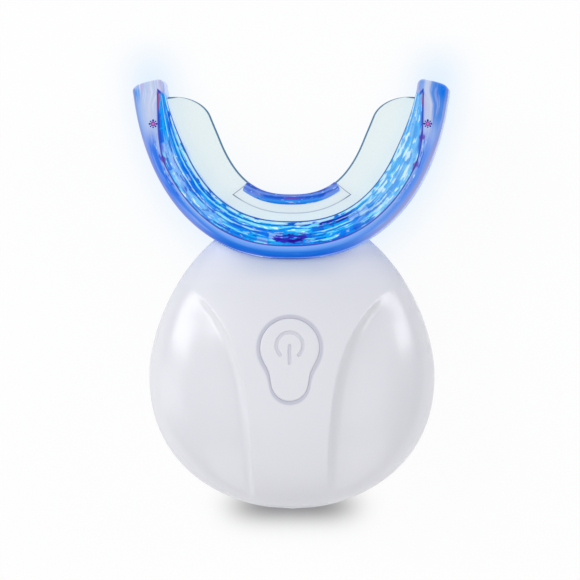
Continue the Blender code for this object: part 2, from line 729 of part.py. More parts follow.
def seal_strip(name, side, top, clearance=0.0, mat=None):
    """Strip along the rim of the shells on one side, from the port round to the neck."""
    outer = SEAL_INSET + clearance
    inner = SEAL_INSET + SEAL_GROOVE_WIDTH - clearance
    low = PARTING_Z - SEAL_GROOVE_DEPTH + clearance
    start = BOTTOM_Y + SHELL_WALL + clearance
    end = NECK_WALL_BACK_Y - SHELL_WALL - clearance
    rings = []
    for y in spread(start, end, 2 * BODY_STATIONS):
        x_outer = side * half_width(y, outer)
        x_inner = side * half_width(y, inner)
        rings.append([(x_outer, y, low), (x_inner, y, low), (x_inner, y, top), (x_outer, y, top)])
    return solid(name, rings, mat)


def power_button(mat):
    """Cap that follows the front surface, with a flange under the shell and a post."""
    side = -BUTTON_CLEARANCE
    under = SHELL_WALL + SEAT_GAP
    middle = (0.0, SWITCH_Y)
    levels = [
        (BUTTON_FLANGE, under + BUTTON_FLANGE_THICKNESS),
        (BUTTON_FLANGE, under),
        (side, under),
        (side, BUTTON_EDGE),
        (side - BUTTON_EDGE / 3, BUTTON_EDGE / 3),
        (side - BUTTON_EDGE, 0.0),
    ]
    rings = []
    for grow, depth in levels:
        rings.append([(x, y, front_z(x, y) - depth) for x, y in keyhole(grow)])
    for share in (0.75, 0.5, 0.25):
        ring = []
        for x, y in keyhole(side - BUTTON_EDGE):
            inner_x = middle[0] + (x - middle[0]) * share
            inner_y = middle[1] + (y - middle[1]) * share
            ring.append((inner_x, inner_y, front_z(inner_x, inner_y)))
        rings.append(ring)
    top = (*middle, front_z(*middle))
    low = (*middle, front_z(*middle) - under - BUTTON_FLANGE_THICKNESS)
    button = solid("power_button", rings, mat, first_point=low, last_point=top)
    bottom = PART_SEAT_Z + SWITCH_FLOOR + PLUNGER_LIFT + PLUNGER_LENGTH + SEAT_GAP
    button_post = post("button_post", BUTTON_POST_RADIUS, bottom, low[2] + SEAT_GAP, middle)
    join(button, button_post)
    cut(button, symbol_arc(), symbol_bar())
    return button


def symbol_arc():
    """Cutter for the open ring of the power symbol, following the button's face."""
    rings = []
    inner = SYMBOL_RADIUS - SYMBOL_STROKE
    half_open = SYMBOL_OPENING_TURNS * math.pi
    for turn in spread(-math.pi / 2 + half_open, 3 * math.pi / 2 - half_open, 2 * KEYHOLE_STEPS):
        ring = []
        for radius, lift in ((inner, 0), (SYMBOL_RADIUS, 0), (SYMBOL_RADIUS, 1), (inner, 1)):
            x = radius * math.cos(turn)
            y = SYMBOL_Y + radius * math.sin(turn)
            ring.append((x, y, front_z(x, y) - SYMBOL_DEPTH + lift * OVERRUN))
        rings.append(ring)
    return solid("symbol_arc", rings)


def symbol_bar():
    rings = []
    for y in spread(SYMBOL_Y, SYMBOL_Y - SYMBOL_BAR, CORNER_STEPS):
        half = SYMBOL_STROKE / 2
        base = front_z(0, y) - SYMBOL_DEPTH
        rings.append([(-half, y, base), (half, y, base),
                      (half, y, base + OVERRUN), (-half, y, base + OVERRUN)])
    return solid("symbol_bar", rings)


def button_seal(mat):
    outer = keyhole(BUTTON_FLANGE + BUTTON_CLEARANCE + COLLAR_WALL)
    top = COLLAR_BOTTOM_Z - SEAT_GAP
    seal = upright("button_seal", outer, top - BUTTON_SEAL_THICKNESS, top, mat)
    hole = BUTTON_POST_RADIUS + SEAT_GAP
    low = top - BUTTON_SEAL_THICKNESS - OVERRUN
    return cut(seal, post("seal_hole", hole, low, top + OVERRUN, (0, SWITCH_Y)))


def screw(name, head_radius, head_height, radius, length, head_level, up, place, mat):
    """Headed screw with its shank pointing up or down."""
    sign = 1 if up else -1
    seat = head_level + sign * head_height
    end = seat + sign * length
    profile = [(head_radius, head_level), (head_radius, seat), (radius, seat), (radius, end)]
    rings = []
    for wide, level in profile:
        rings.append([(x + place[0], y + place[1], level) for x, y in circle(wide, ROUND_SIDES - 4)])
    return solid(name, rings, mat)


# Pieces on the board

def main_board(mat):
    centre = (0, (BOARD_BOTTOM_Y + BOARD_TOP_Y) / 2)
    outline = rounded(BOARD_WIDTH, BOARD_LENGTH, BOARD_CORNER)
    board = upright("main_board", outline, BOARD_LEVEL, BOARD_TOP_Z, mat, centre)
    tab_centre = (0, BOARD_BOTTOM_Y)
    tab_length = 2 * (BOARD_BOTTOM_Y - USB_MOUTH_Y - BOARD_TAB_SETBACK)
    join(board, block("board_tab", BOARD_TAB_WIDTH, tab_length, BOARD_LEVEL, BOARD_TOP_Z, tab_centre))
    for number, place in enumerate(BOARD_POSTS[:2], 1):
        hole = BOARD_SCREW_RADIUS + LAYER_GAP
        cut(board, post(f"board_hole_{number}", hole, 0, PARTING_Z, place))
    return board


def switch(body_mat, plunger_mat):
    top = PART_SEAT_Z + SWITCH_HEIGHT
    body = block("switch_body", SWITCH_SIZE, SWITCH_SIZE, PART_SEAT_Z, top, (0, SWITCH_Y), body_mat)
    floor = PART_SEAT_Z + SWITCH_FLOOR
    cut(body, post("switch_bore", PLUNGER_RADIUS + SEAT_GAP, floor, top + OVERRUN, (0, SWITCH_Y)))
    low = floor + PLUNGER_LIFT
    post("switch_plunger", PLUNGER_RADIUS, low, low + PLUNGER_LENGTH, (0, SWITCH_Y), plunger_mat)


def usb_socket(mat):
    end = USB_MOUTH_Y + USB_LENGTH
    shell = rounded(USB_WIDTH, USB_HEIGHT, USB_HEIGHT / 2 - USB_WALL / 2)
    socket = lengthwise("usb_socket", shell, USB_MOUTH_Y, end, mat, PORT_Z)
    inside = 2 * USB_WALL
    bore = rounded(USB_WIDTH - inside, USB_HEIGHT - inside, (USB_HEIGHT - inside - USB_WALL) / 2)
    cut(socket, lengthwise("usb_bore", bore, USB_MOUTH_Y - OVERRUN, end - USB_BACK, level=PORT_Z))
    side = USB_TONGUE_WIDTH / 2
    thick = USB_TONGUE_THICKNESS / 2
    tongue = [(-side, -thick), (side, -thick), (side, thick), (-side, thick)]
    start = USB_MOUTH_Y + USB_TONGUE_SETBACK
    return join(socket, lengthwise("usb_tongue", tongue, start, end - USB_BACK / 2, level=PORT_Z))


def port_plug(mat):
    """Stopper whose outer face follows the handle's bottom end."""
    cap = lengthwise("port_plug", port_outline(SEAT_GAP), BOTTOM_Y - OVERRUN, USB_MOUTH_Y - SEAT_GAP,
                     mat, PORT_Z)
    envelope_front = body_half("plug_envelope", front_z, PARTING_Z)
    join(envelope_front, body_half("plug_envelope_rear", rear_z, PARTING_Z))
    keep_inside(cap, envelope_front)
    tip = rounded(PLUG_TIP_WIDTH, PLUG_TIP_HEIGHT, PLUG_TIP_HEIGHT / 3)
    start = USB_MOUTH_Y - 2 * SEAT_GAP
    end = USB_MOUTH_Y + PLUG_TIP_REACH - 2 * SEAT_GAP
    return join(cap, lengthwise("plug_tip", tip, start, end, level=PORT_Z))


def buzzer(mat):
    centre = (-BOARD_WIDTH / 4, BOARD_BOTTOM_Y + BOARD_LENGTH / 4)
    top = PART_SEAT_Z + BUZZER_HEIGHT
    item = post("buzzer", BUZZER_RADIUS, PART_SEAT_Z, top, centre, mat)
    return cut(item, post("buzzer_hole", BUZZER_HOLE_RADIUS, top - BUZZER_HEIGHT / 2, top + OVERRUN, centre))


def battery(cell_mat, pad_mat):
    start = BOARD_BOTTOM_Y + BATTERY_FROM_BOARD_BOTTOM
    end = BOARD_TOP_Y - BATTERY_FROM_BOARD_TOP
    centre = (0, (start + end) / 2)
    pad_low = SHELL_WALL + SEAT_GAP
    pad_high = pad_low + PAD_THICKNESS
    outline = rounded(BATTERY_WIDTH, end - start, BATTERY_CORNER)
    upright("battery_pad", outline, pad_low, pad_high, pad_mat, centre)
    low = pad_high + SEAT_GAP
    high = BOARD_LEVEL - BATTERY_TO_BOARD
    upright("battery_cell", outline, low, high, cell_mat, centre)
    return (low + high) / 2, end


def connector_place():
    x = -(FLEX_CONNECTOR_WIDTH / 2 + CONNECTOR_SPACING + CONNECTOR_WIDTH / 2)
    return (x, BOARD_TOP_Y - CONNECTOR_LENGTH / 2)


def battery_lead(name, offset, level, start_y, mat):
    """Lead from the end of the cell, round the edge of the board, into the connector."""
    x = connector_place()[0] + offset
    past = BOARD_TOP_Y + 3 * LEAD_RADIUS
    plug_y = BOARD_TOP_Y + SEAT_GAP
    plug_z = PART_SEAT_Z + CONNECTOR_HEIGHT / 2
    route = [(x, start_y + SEAT_GAP, level), (x, start_y + 3 * LEAD_RADIUS, level),
             (x, past, BOARD_LEVEL - LEAD_RADIUS), (x, past + LEAD_RADIUS, BOARD_TOP_Z),
             (x, past, plug_z - LEAD_RADIUS / 2), (x, plug_y, plug_z)]
    curve = bpy.data.curves.new(name, "CURVE")
    curve.dimensions = "3D"
    curve.bevel_depth = LEAD_RADIUS
    curve.bevel_resolution = 2
    curve.use_fill_caps = True
    line = curve.splines.new("POLY")
    line.points.add(len(route) - 1)
    for point, place in zip(line.points, route):
        point.co = (*place, 1.0)
    curve.materials.append(mat)
    item = bpy.data.objects.new(name, curve)
    bpy.context.scene.collection.objects.link(item)
    return item


def flex_connector(mat):
    centre_y = BOARD_TOP_Y - FLEX_CONNECTOR_LENGTH / 2
    top = PART_SEAT_Z + FLEX_CONNECTOR_HEIGHT
    item = block("flex_connector", FLEX_CONNECTOR_WIDTH, FLEX_CONNECTOR_LENGTH, PART_SEAT_Z, top,
                 (0, centre_y), mat)
    slot_low = FLEX_TAIL_Z - FLEX_THICKNESS / 2 - SEAT_GAP
    slot_high = FLEX_TAIL_Z + FLEX_THICKNESS / 2 + SEAT_GAP
    slot_y = BOARD_TOP_Y - FLEX_CONNECTOR_DEPTH / 2 + OVERRUN / 2
    slot = block("flex_slot", FLEX_TAIL_WIDTH + 2 * SEAT_GAP, FLEX_CONNECTOR_DEPTH + OVERRUN,
                 slot_low, slot_high, (0, slot_y))
    return cut(item, slot)


# Pieces of the mouthpiece

def mouth_tray(mat):
    tray = along_arch("mouth_tray", round_ended_runs(TIP_RUN, TRAY_TIP_CORNER), tray_section, mat)
    plate_runs = round_ended_runs(TIP_RUN - BITE_PLATE_END_FROM_TIP, BITE_LOBE_ROUND)
    join(tray, along_arch("bite_plate", plate_runs, bite_plate_section))
    wall_runs = spread(-TONGUE_WALL_HALF_RUN, TONGUE_WALL_HALF_RUN, ARCH_STATIONS // 2)
    join(tray, along_arch("tongue_wall", wall_runs, tongue_section))
    pocket_end = LED_END_RUN + SEAT_GAP
    pocket_runs = spread(-pocket_end, pocket_end, ARCH_STATIONS)
    pocket = band(POCKET_OUTER, HOUSING_INNER + SEAT_GAP, POCKET_HEIGHT / 2)
    cut(tray, along_arch("pocket", pocket_runs, pocket))
    for name, side in (("left", -1), ("right", 1)):
        runs = [side * run for run in spread(LED_END_RUN - OVERRUN, GUIDE_END_RUN + SEAT_GAP, 8)]
        cut(tray, along_arch(f"guide_pocket_{name}", runs, guide_pocket_section))
        place = pin_place(side)
        low = PARTING_Z + TRAY_HEIGHT / 2 - PIN_LENGTH
        high = PARTING_Z + TRAY_HEIGHT / 2 + OVERRUN
        cut(tray, post(f"pin_hole_{name}", PIN_RADIUS + LAYER_GAP, low, high, place))
    slot = rounded(STEM_WIDTH + 2 * SEAT_GAP, STEM_HEIGHT + 2 * SEAT_GAP, STEM_CORNER + SEAT_GAP)
    inside_y = ARCH_FRONT_Y + (POCKET_OUTER + BACK_PLATE_INNER) / 2
    cut(tray, lengthwise("tray_slot", slot, ARCH_FRONT_Y - OVERRUN, inside_y, level=PARTING_Z))
    return tray


def pin_place(side):
    return arch_point(side * (TIP_RUN - PIN_FROM_TIP), PIN_INSET, 0)[:2]


def tray_pin(name, side, mat):
    top = PARTING_Z + TRAY_HEIGHT / 2
    low = top - PIN_LENGTH + SEAT_GAP
    return post(name, PIN_RADIUS, low, top, pin_place(side), mat)


def light_housing(mat):
    """Clear channel over the lights, with a solid tapering light guide at each end."""
    inner = HOUSING_INNER
    outer = FLEX_OUTER
    runs = spread(-LED_END_RUN, LED_END_RUN, ARCH_STATIONS)
    housing = along_arch("light_housing", runs, band(outer, inner, HOUSING_HALF_HEIGHT), mat)
    channel_runs = spread(-LED_END_RUN + HOUSING_WALL, LED_END_RUN - HOUSING_WALL, ARCH_STATIONS)
    channel = band(outer - OVERRUN, inner - HOUSING_WALL, HOUSING_HALF_HEIGHT - HOUSING_WALL)
    cut(housing, along_arch("light_channel", channel_runs, channel))
    for name, side in (("left", -1), ("right", 1)):
        runs = [side * run for run in spread(LED_END_RUN - HOUSING_WALL / 2, GUIDE_END_RUN, 8)]
        join(housing, along_arch(f"guide_{name}", runs, guide_section))
    return housing


def led_flex_strip(mat):
    end = LED_END_RUN - 2 * HOUSING_WALL
    runs = spread(-end, end, ARCH_STATIONS)
    strip = along_arch("led_flex_strip", runs, band(FLEX_OUTER, FLEX_INNER, FLEX_HALF_HEIGHT), mat)
    start = BOARD_TOP_Y - FLEX_CONNECTOR_DEPTH + SEAT_GAP
    finish_y = ARCH_FRONT_Y + (FLEX_OUTER + FLEX_INNER) / 2
    low = FLEX_TAIL_Z - FLEX_THICKNESS / 2
    tail = block("flex_tail", FLEX_TAIL_WIDTH, finish_y - start, low, low + FLEX_THICKNESS,
                 (0, (start + finish_y) / 2))
    return join(strip, tail)


def led(number, run, level, mat):
    half_run = LED_LENGTH / 2
    low = level - LED_HEIGHT / 2
    high = level + LED_HEIGHT / 2
    corners = [(LED_OUTER, low), (LED_INNER, low), (LED_INNER, high), (LED_OUTER, high)]
    return along_arch(f"led_{number:02d}", [run - half_run, run + half_run], lambda _: corners, mat)


def mouthpiece_stem(mat):
    end = LED_END_RUN - HOUSING_WALL
    runs = spread(-end, end, ARCH_STATIONS)
    plate = band(BACK_PLATE_OUTER, BACK_PLATE_INNER, HOUSING_HALF_HEIGHT)
    stem = along_arch("mouthpiece_stem", runs, plate, mat)
    flange_back = STEM_FLANGE_BACK_Y
    flange_front = flange_back + STEM_FLANGE_THICKNESS
    meets = ARCH_FRONT_Y + (BACK_PLATE_OUTER + BACK_PLATE_INNER) / 2
    neck = rounded(STEM_WIDTH, STEM_HEIGHT, STEM_CORNER)
    flange = rounded(STEM_FLANGE_WIDTH, STEM_FLANGE_HEIGHT, STEM_CORNER)
    join(stem, lengthwise("stem_neck", neck, flange_back + SEAT_GAP, meets, level=PARTING_Z))
    join(stem, lengthwise("stem_flange", flange, flange_back, flange_front, level=PARTING_Z))
    low = FLEX_TAIL_Z - FLEX_THICKNESS / 2 - SEAT_GAP
    high = FLEX_TAIL_Z + FLEX_THICKNESS / 2 + SEAT_GAP
    length = FLEX_INNER + OVERRUN + ARCH_FRONT_Y - flange_back
    centre = (0, flange_back + length / 2 - OVERRUN / 2)
    slot = block("stem_slot", FLEX_TAIL_WIDTH + 2 * SEAT_GAP, length + OVERRUN, low, high, centre)
    return cut(stem, slot)


def stem_seal(mat):
    grow = 2 * (STEM_SEAL_THICKNESS + SEAT_GAP)
    outer = rounded(STEM_WIDTH + grow, STEM_HEIGHT + grow, STEM_CORNER + grow / 2)
    start = NECK_WALL_BACK_Y + SEAT_GAP
    seal = lengthwise("stem_seal", outer, start, start + STEM_SEAL_LENGTH, mat, PARTING_Z)
    inner = rounded(STEM_WIDTH + 2 * SEAT_GAP, STEM_HEIGHT + 2 * SEAT_GAP, STEM_CORNER + SEAT_GAP)
    bore = lengthwise("stem_seal_bore", inner, start - OVERRUN, start + STEM_SEAL_LENGTH + OVERRUN,
                      level=PARTING_Z)
    return cut(seal, bore)


def main():
    clear_scene()
    white = finish("gloss_white", (0.86, 0.87, 0.9), 0.25)
    button_white = finish("button_white", (0.85, 0.86, 0.89), 0.35)
    clear_soft = finish("clear_soft", (0.55, 0.68, 0.95), 0.12, alpha=0.35)
    clear_hard = finish("clear_hard", (0.35, 0.6, 1.0), 0.08, alpha=0.4)
    blue_light = finish("blue_light", (0.05, 0.35, 1.0), 0.3, glow=4.0)
    grey_rubber = finish("grey_rubber", (0.45, 0.46, 0.48), 0.8)
    white_rubber = finish("white_rubber", (0.8, 0.81, 0.84), 0.6)
    board_green = finish("board_green", (0.05, 0.25, 0.12), 0.45)
    flex_white = finish("flex_white", (0.8, 0.82, 0.85), 0.4)
    black_plastic = finish("black_plastic", (0.02, 0.02, 0.025), 0.4)
    ivory_plastic = finish("ivory_plastic", (0.75, 0.72, 0.62), 0.5)
    steel = finish("steel", (0.6, 0.6, 0.62), 0.3, 1.0)
    foil = finish("battery_foil", (0.65, 0.67, 0.7), 0.35, 0.8)
    foam = finish("foam", (0.1, 0.1, 0.11), 0.95)
    red_lead = finish("red_lead", (0.6, 0.03, 0.03), 0.5)
    black_lead = finish("black_lead", (0.02, 0.02, 0.02), 0.5)
    violet_pin = finish("violet_pin", (0.45, 0.3, 0.8), 0.3)

    front_shell(white)
    rear_shell(white)
    power_button(button_white)
    button_seal(grey_rubber)
    seal_strip("shell_seal_left", -1, PARTING_Z, SEAL_SIDE_CLEARANCE, grey_rubber)
    seal_strip("shell_seal_right", 1, PARTING_Z, SEAL_SIDE_CLEARANCE, grey_rubber)
    for number, place in enumerate(CASE_SCREWS, 1):
        screw(f"case_screw_{number}", SCREW_HEAD_RADIUS, SCREW_HEAD_HEIGHT, SCREW_SHANK_RADIUS,
              SCREW_SHANK_LENGTH, SCREW_HEAD_LEVEL, True, place, steel)
    for number, place in enumerate(BOARD_POSTS[:2], 1):
        head = PART_SEAT_Z + BOARD_SCREW_HEAD_HEIGHT
        screw(f"board_screw_{number}", BOARD_SCREW_HEAD_RADIUS, BOARD_SCREW_HEAD_HEIGHT,
              BOARD_SCREW_RADIUS, BOARD_SCREW_LENGTH - SEAT_GAP, head, False, place, steel)

    main_board(board_green)
    switch(black_plastic, ivory_plastic)
    chip_y = BOARD_BOTTOM_Y + BOARD_LENGTH / 4
    block("controller_chip", CHIP_LENGTH, CHIP_WIDTH, PART_SEAT_Z, PART_SEAT_Z + CHIP_HEIGHT,
          (BOARD_WIDTH / 4, chip_y), black_plastic)
    block("charger_chip", CHARGER_SIZE, CHARGER_SIZE, PART_SEAT_Z, PART_SEAT_Z + CHARGER_HEIGHT,
          (BOARD_WIDTH / 4, chip_y - 2 * CHARGER_SIZE), black_plastic)
    block("boost_inductor", INDUCTOR_SIZE, INDUCTOR_SIZE, PART_SEAT_Z, PART_SEAT_Z + INDUCTOR_HEIGHT,
          (BOARD_WIDTH / 4 + INDUCTOR_SIZE / 4, SWITCH_Y + INDUCTOR_SIZE), black_plastic)
    buzzer(black_plastic)
    connector = connector_place()
    block("battery_connector", CONNECTOR_WIDTH, CONNECTOR_LENGTH, PART_SEAT_Z,
          PART_SEAT_Z + CONNECTOR_HEIGHT, connector, ivory_plastic)
    flex_connector(ivory_plastic)
    lead_level, cell_end = battery(foil, foam)
    battery_lead("battery_lead_red", LEAD_SPACING / 2, lead_level, cell_end, red_lead)
    battery_lead("battery_lead_black", -LEAD_SPACING / 2, lead_level, cell_end, black_lead)
    usb_socket(steel)
    port_plug(white_rubber)

    mouth_tray(clear_soft)
    light_housing(clear_hard)
    led_flex_strip(flex_white)
    number = 0
    for level in (LED_ROW_OFFSET, -LED_ROW_OFFSET):
        for column in range(LEDS_PER_ROW):
            number += 1
            led(number, (column - (LEDS_PER_ROW - 1) / 2) * LED_PITCH, level, blue_light)
    mouthpiece_stem(clear_hard)
    stem_seal(grey_rubber)
    tray_pin("tray_pin_left", -1, violet_pin)
    tray_pin("tray_pin_right", 1, violet_pin)


main()
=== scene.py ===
"""Looks of an LED teeth whitening light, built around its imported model.

The light lies on its back: +Z points out of the button face and +Y from the handle to the
tips of the mouthpiece. All lengths are in metres.
"""

import logging
import math
from dataclasses import dataclass
from enum import Enum
from typing import Callable, Iterable, Optional, Sequence, Union

import bmesh
import bpy
import numpy as np
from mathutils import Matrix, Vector


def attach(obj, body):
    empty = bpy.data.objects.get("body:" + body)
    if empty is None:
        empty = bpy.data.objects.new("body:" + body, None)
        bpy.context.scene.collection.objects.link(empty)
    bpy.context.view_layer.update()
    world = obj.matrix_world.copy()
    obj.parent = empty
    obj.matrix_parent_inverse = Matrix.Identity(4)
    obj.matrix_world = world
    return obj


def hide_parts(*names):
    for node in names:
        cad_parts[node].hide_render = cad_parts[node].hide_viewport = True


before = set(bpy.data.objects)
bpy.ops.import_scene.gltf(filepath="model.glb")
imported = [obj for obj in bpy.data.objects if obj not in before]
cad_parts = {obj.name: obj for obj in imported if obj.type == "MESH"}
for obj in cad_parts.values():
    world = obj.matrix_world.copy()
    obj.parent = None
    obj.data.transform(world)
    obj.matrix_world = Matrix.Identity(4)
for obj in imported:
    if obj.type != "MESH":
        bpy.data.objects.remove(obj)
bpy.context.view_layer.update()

logging.basicConfig(level=logging.INFO, format="%(message)s")
log = logging.getLogger("whitening_light")

MM = 0.001
TURN = 2 * math.pi
QUARTER = math.pi / 2
BLACK = (0.0, 0.0, 0.0)
WHITE = (1.0, 1.0, 1.0)
Number = Union[float, "Wire"]
Colour = tuple[float, float, float]
Stop = tuple[float, int, int, int]
Sockets = dict[str, object]
Rings = list[np.ndarray]
Surface = Callable[[np.ndarray, np.ndarray], np.ndarray]


class Body(Enum):
    """The bodies that the pieces made here ride on."""

    HANDLE = "handle"
    BUTTON = "button"


class Slot(Enum):
    """The record's material slots, named for the pieces made here."""

    GLOSS_WHITE = "gloss_white"
    BUTTON_WHITE = "button_white"
    CLEAR_SOFT = "clear_soft"
    BLUE_LIGHT = "blue_light"
    STEEL = "steel"
    VIOLET_PIN = "violet_pin"


def by_math(operation: str, swapped: bool = False) -> Callable[["Wire", Number], "Wire"]:
    """One of Python's operators for wires.

    Args:
        operation: the Math node's operation.
        swapped: whether the other value comes first.

    Returns:
        The method.
    """
    def method(wire: "Wire", other: Number) -> "Wire":
        """Adds the Math node."""
        values = (other, wire) if swapped else (wire, other)
        return wire.tree.math(operation, *values)
    return method


@dataclass(frozen=True)
class Wire:
    """One output socket of a node tree. Python's operators on it add Math nodes."""

    tree: "Nodes"
    socket: bpy.types.NodeSocket

    __add__, __radd__ = by_math("ADD"), by_math("ADD", True)
    __sub__, __rsub__ = by_math("SUBTRACT"), by_math("SUBTRACT", True)
    __mul__, __rmul__ = by_math("MULTIPLY"), by_math("MULTIPLY", True)
    __truediv__, __rtruediv__ = by_math("DIVIDE"), by_math("DIVIDE", True)
    __pow__ = by_math("POWER")

    def __abs__(self) -> "Wire":
        """Size without its sign."""
        return self.tree.math("ABSOLUTE", self)

    def __neg__(self) -> "Wire":
        """The same size with the other sign."""
        return self.tree.math("MULTIPLY", self, -1.0)


class Nodes:
    """A node tree, shader or geometry, that is filled by method calls."""

    def __init__(self, tree: bpy.types.NodeTree) -> None:
        """Keeps the tree to fill."""
        self.tree = tree

    def put(self, socket: bpy.types.NodeSocket, value: object) -> None:
        """Links a wire to an input socket, or sets its value.

        Args:
            socket: the input socket.
            value: a wire, a number, a tuple, a material or a name.
        """
        if isinstance(value, Wire):
            self.tree.links.new(value.socket, socket)
        elif isinstance(value, tuple) and len(value) == 3 and socket.type == "RGBA":
            socket.default_value = (*value, 1.0)
        else:
            socket.default_value = value

    def add(self, kind: str, settings: Optional[dict] = None, inputs: Optional[dict] = None,
            output: Union[int, str] = 0) -> Wire:
        """Adds any node.

        Args:
            kind: the node's type name.
            settings: its own settings, set before its sockets. "stops" fills a colour ramp.
            inputs: values or wires by socket name or number.
            output: the output socket to hand back.

        Returns:
            The wire of the chosen output.
        """
        node = self.tree.nodes.new(kind)
        for name, value in (settings or {}).items():
            if name == "stops":
                self.fill_ramp(node.color_ramp, value)
            else:
                setattr(node, name, value)
        for name, value in (inputs or {}).items():
            self.put(node.inputs[name], value)
        return Wire(self, node.outputs[output])

    @staticmethod
    def fill_ramp(ramp: bpy.types.ColorRamp, stops: Sequence[Stop]) -> None:
        """Sets the stops of a colour ramp.

        Args:
            ramp: the ramp.
            stops: places from 0 to 1, each with a screen colour.
        """
        while len(ramp.elements) < len(stops):
            ramp.elements.new(1.0)
        for element, (place, *colour) in zip(ramp.elements, stops):
            element.position = place
            element.color = (*srgb(*colour), 1.0)

    def ramp(self, value: Wire, *stops: Stop) -> Wire:
        """The colour that a value has between stops."""
        return self.add("ShaderNodeValToRGB", {"stops": stops}, {0: value})

    def math(self, operation: str, *values: Number) -> Wire:
        """One Math node with this operation, over one or two values."""
        return self.add("ShaderNodeMath", {"operation": operation}, dict(enumerate(values)))

    def smooth(self, value: Number, low: Number, high: Number) -> Wire:
        """Smooth step from 0 at low to 1 at high."""
        settings = {"interpolation_type": "SMOOTHSTEP"}
        return self.add("ShaderNodeMapRange", settings, {0: value, 1: low, 2: high})

    def rise(self, value: Number, low: float, high: float) -> Wire:
        """Smooth step between two lengths in millimetres."""
        return self.smooth(value, low * MM, high * MM)

    def line(self, value: Wire, centre: Number, width: float) -> Wire:
        """Soft mask that is 1 on a line and 0 past its width."""
        return 1 - self.smooth(abs(value - centre), width * 0.35, width)

    def bell(self, *offs: Wire) -> Wire:
        """Soft mask that is 1 where all the values are 0."""
        total = offs[0] * offs[0]
        for off in offs[1:]:
            total = total + off * off
        return self.math("EXPONENT", -total)

    def blend(self, factor: Number, first: object, second: object, mode: str = "MIX") -> Wire:
        """Mixes two colours.

        Args:
            factor: how much of the second colour.
            first: a colour or a wire.
            second: a colour or a wire.
            mode: the way they mix.

        Returns:
            The mixed colour.
        """
        settings = {"data_type": "RGBA", "blend_type": mode, "clamp_factor": True}
        return self.add("ShaderNodeMix", settings, {0: factor, 6: first, 7: second}, 2)

    def shaded(self, colour: Colour, shade: Wire) -> Wire:
        """A colour made darker by a shade from 0 to 1."""
        return self.blend(1.0, colour, self.vector(shade, shade, shade), "MULTIPLY")

    def vector(self, x: Number, y: Number, z: Number) -> Wire:
        """Three numbers as one vector."""
        return self.add("ShaderNodeCombineXYZ", None, {0: x, 1: y, 2: z})

    def parts(self, vector: Wire) -> tuple[Wire, Wire, Wire]:
        """The three numbers of a vector."""
        first = self.add("ShaderNodeSeparateXYZ", None, {0: vector})
        node = first.socket.node
        return first, Wire(self, node.outputs[1]), Wire(self, node.outputs[2])

    def noise(self, vector: Wire, scale: float, detail: float = 2.0, rough: float = 0.5) -> Wire:
        """Noise from 0 to 1 over a vector."""
        return self.add("ShaderNodeTexNoise", None,
                        {"Vector": vector, "Scale": scale, "Detail": detail, "Roughness": rough})

    def speckle(self, x: Number, y: Number, z: Number, detail: float = 2.0,
                rough: float = 0.5) -> Wire:
        """Noise from 0 to 1 over three values, each already in steps of the pattern."""
        return self.noise(self.vector(x, y, z), 1.0, detail, rough)

    def draw(self, x: Number, y: Number, z: Number) -> Wire:
        """A random value from 0 to 1 for each whole set of three values."""
        return self.add("ShaderNodeTexWhiteNoise", {"noise_dimensions": "3D"},
                        {"Vector": self.vector(x, y, z)})

    def bump(self, height: Wire, strength: float, distance: float) -> Wire:
        """The normal of a surface with this relief, its distance in millimetres."""
        return self.add("ShaderNodeBump", None,
                        {"Strength": strength, "Distance": distance * MM, "Height": height})

    def here(self) -> Wire:
        """The place on the piece, in metres."""
        return self.add("ShaderNodeTexCoord", None, None, "Object")

    def stored(self, name: str) -> tuple[Wire, Wire, Wire]:
        """The three numbers of a vector attribute of the mesh."""
        return self.parts(self.add("ShaderNodeAttribute", {"attribute_name": name}, None, "Vector"))


class Layers:
    """A colour that is built up from layers of screen colours."""

    def __init__(self, nodes: Nodes, colour: object) -> None:
        """Starts from a colour or a wire."""
        self.nodes, self.colour = nodes, colour

    def lay(self, mask: Number, red: int, green: int, blue: int) -> None:
        """Puts a screen colour over what is there, as far as the mask lets it."""
        self.colour = self.nodes.blend(mask, self.colour, srgb(red, green, blue))


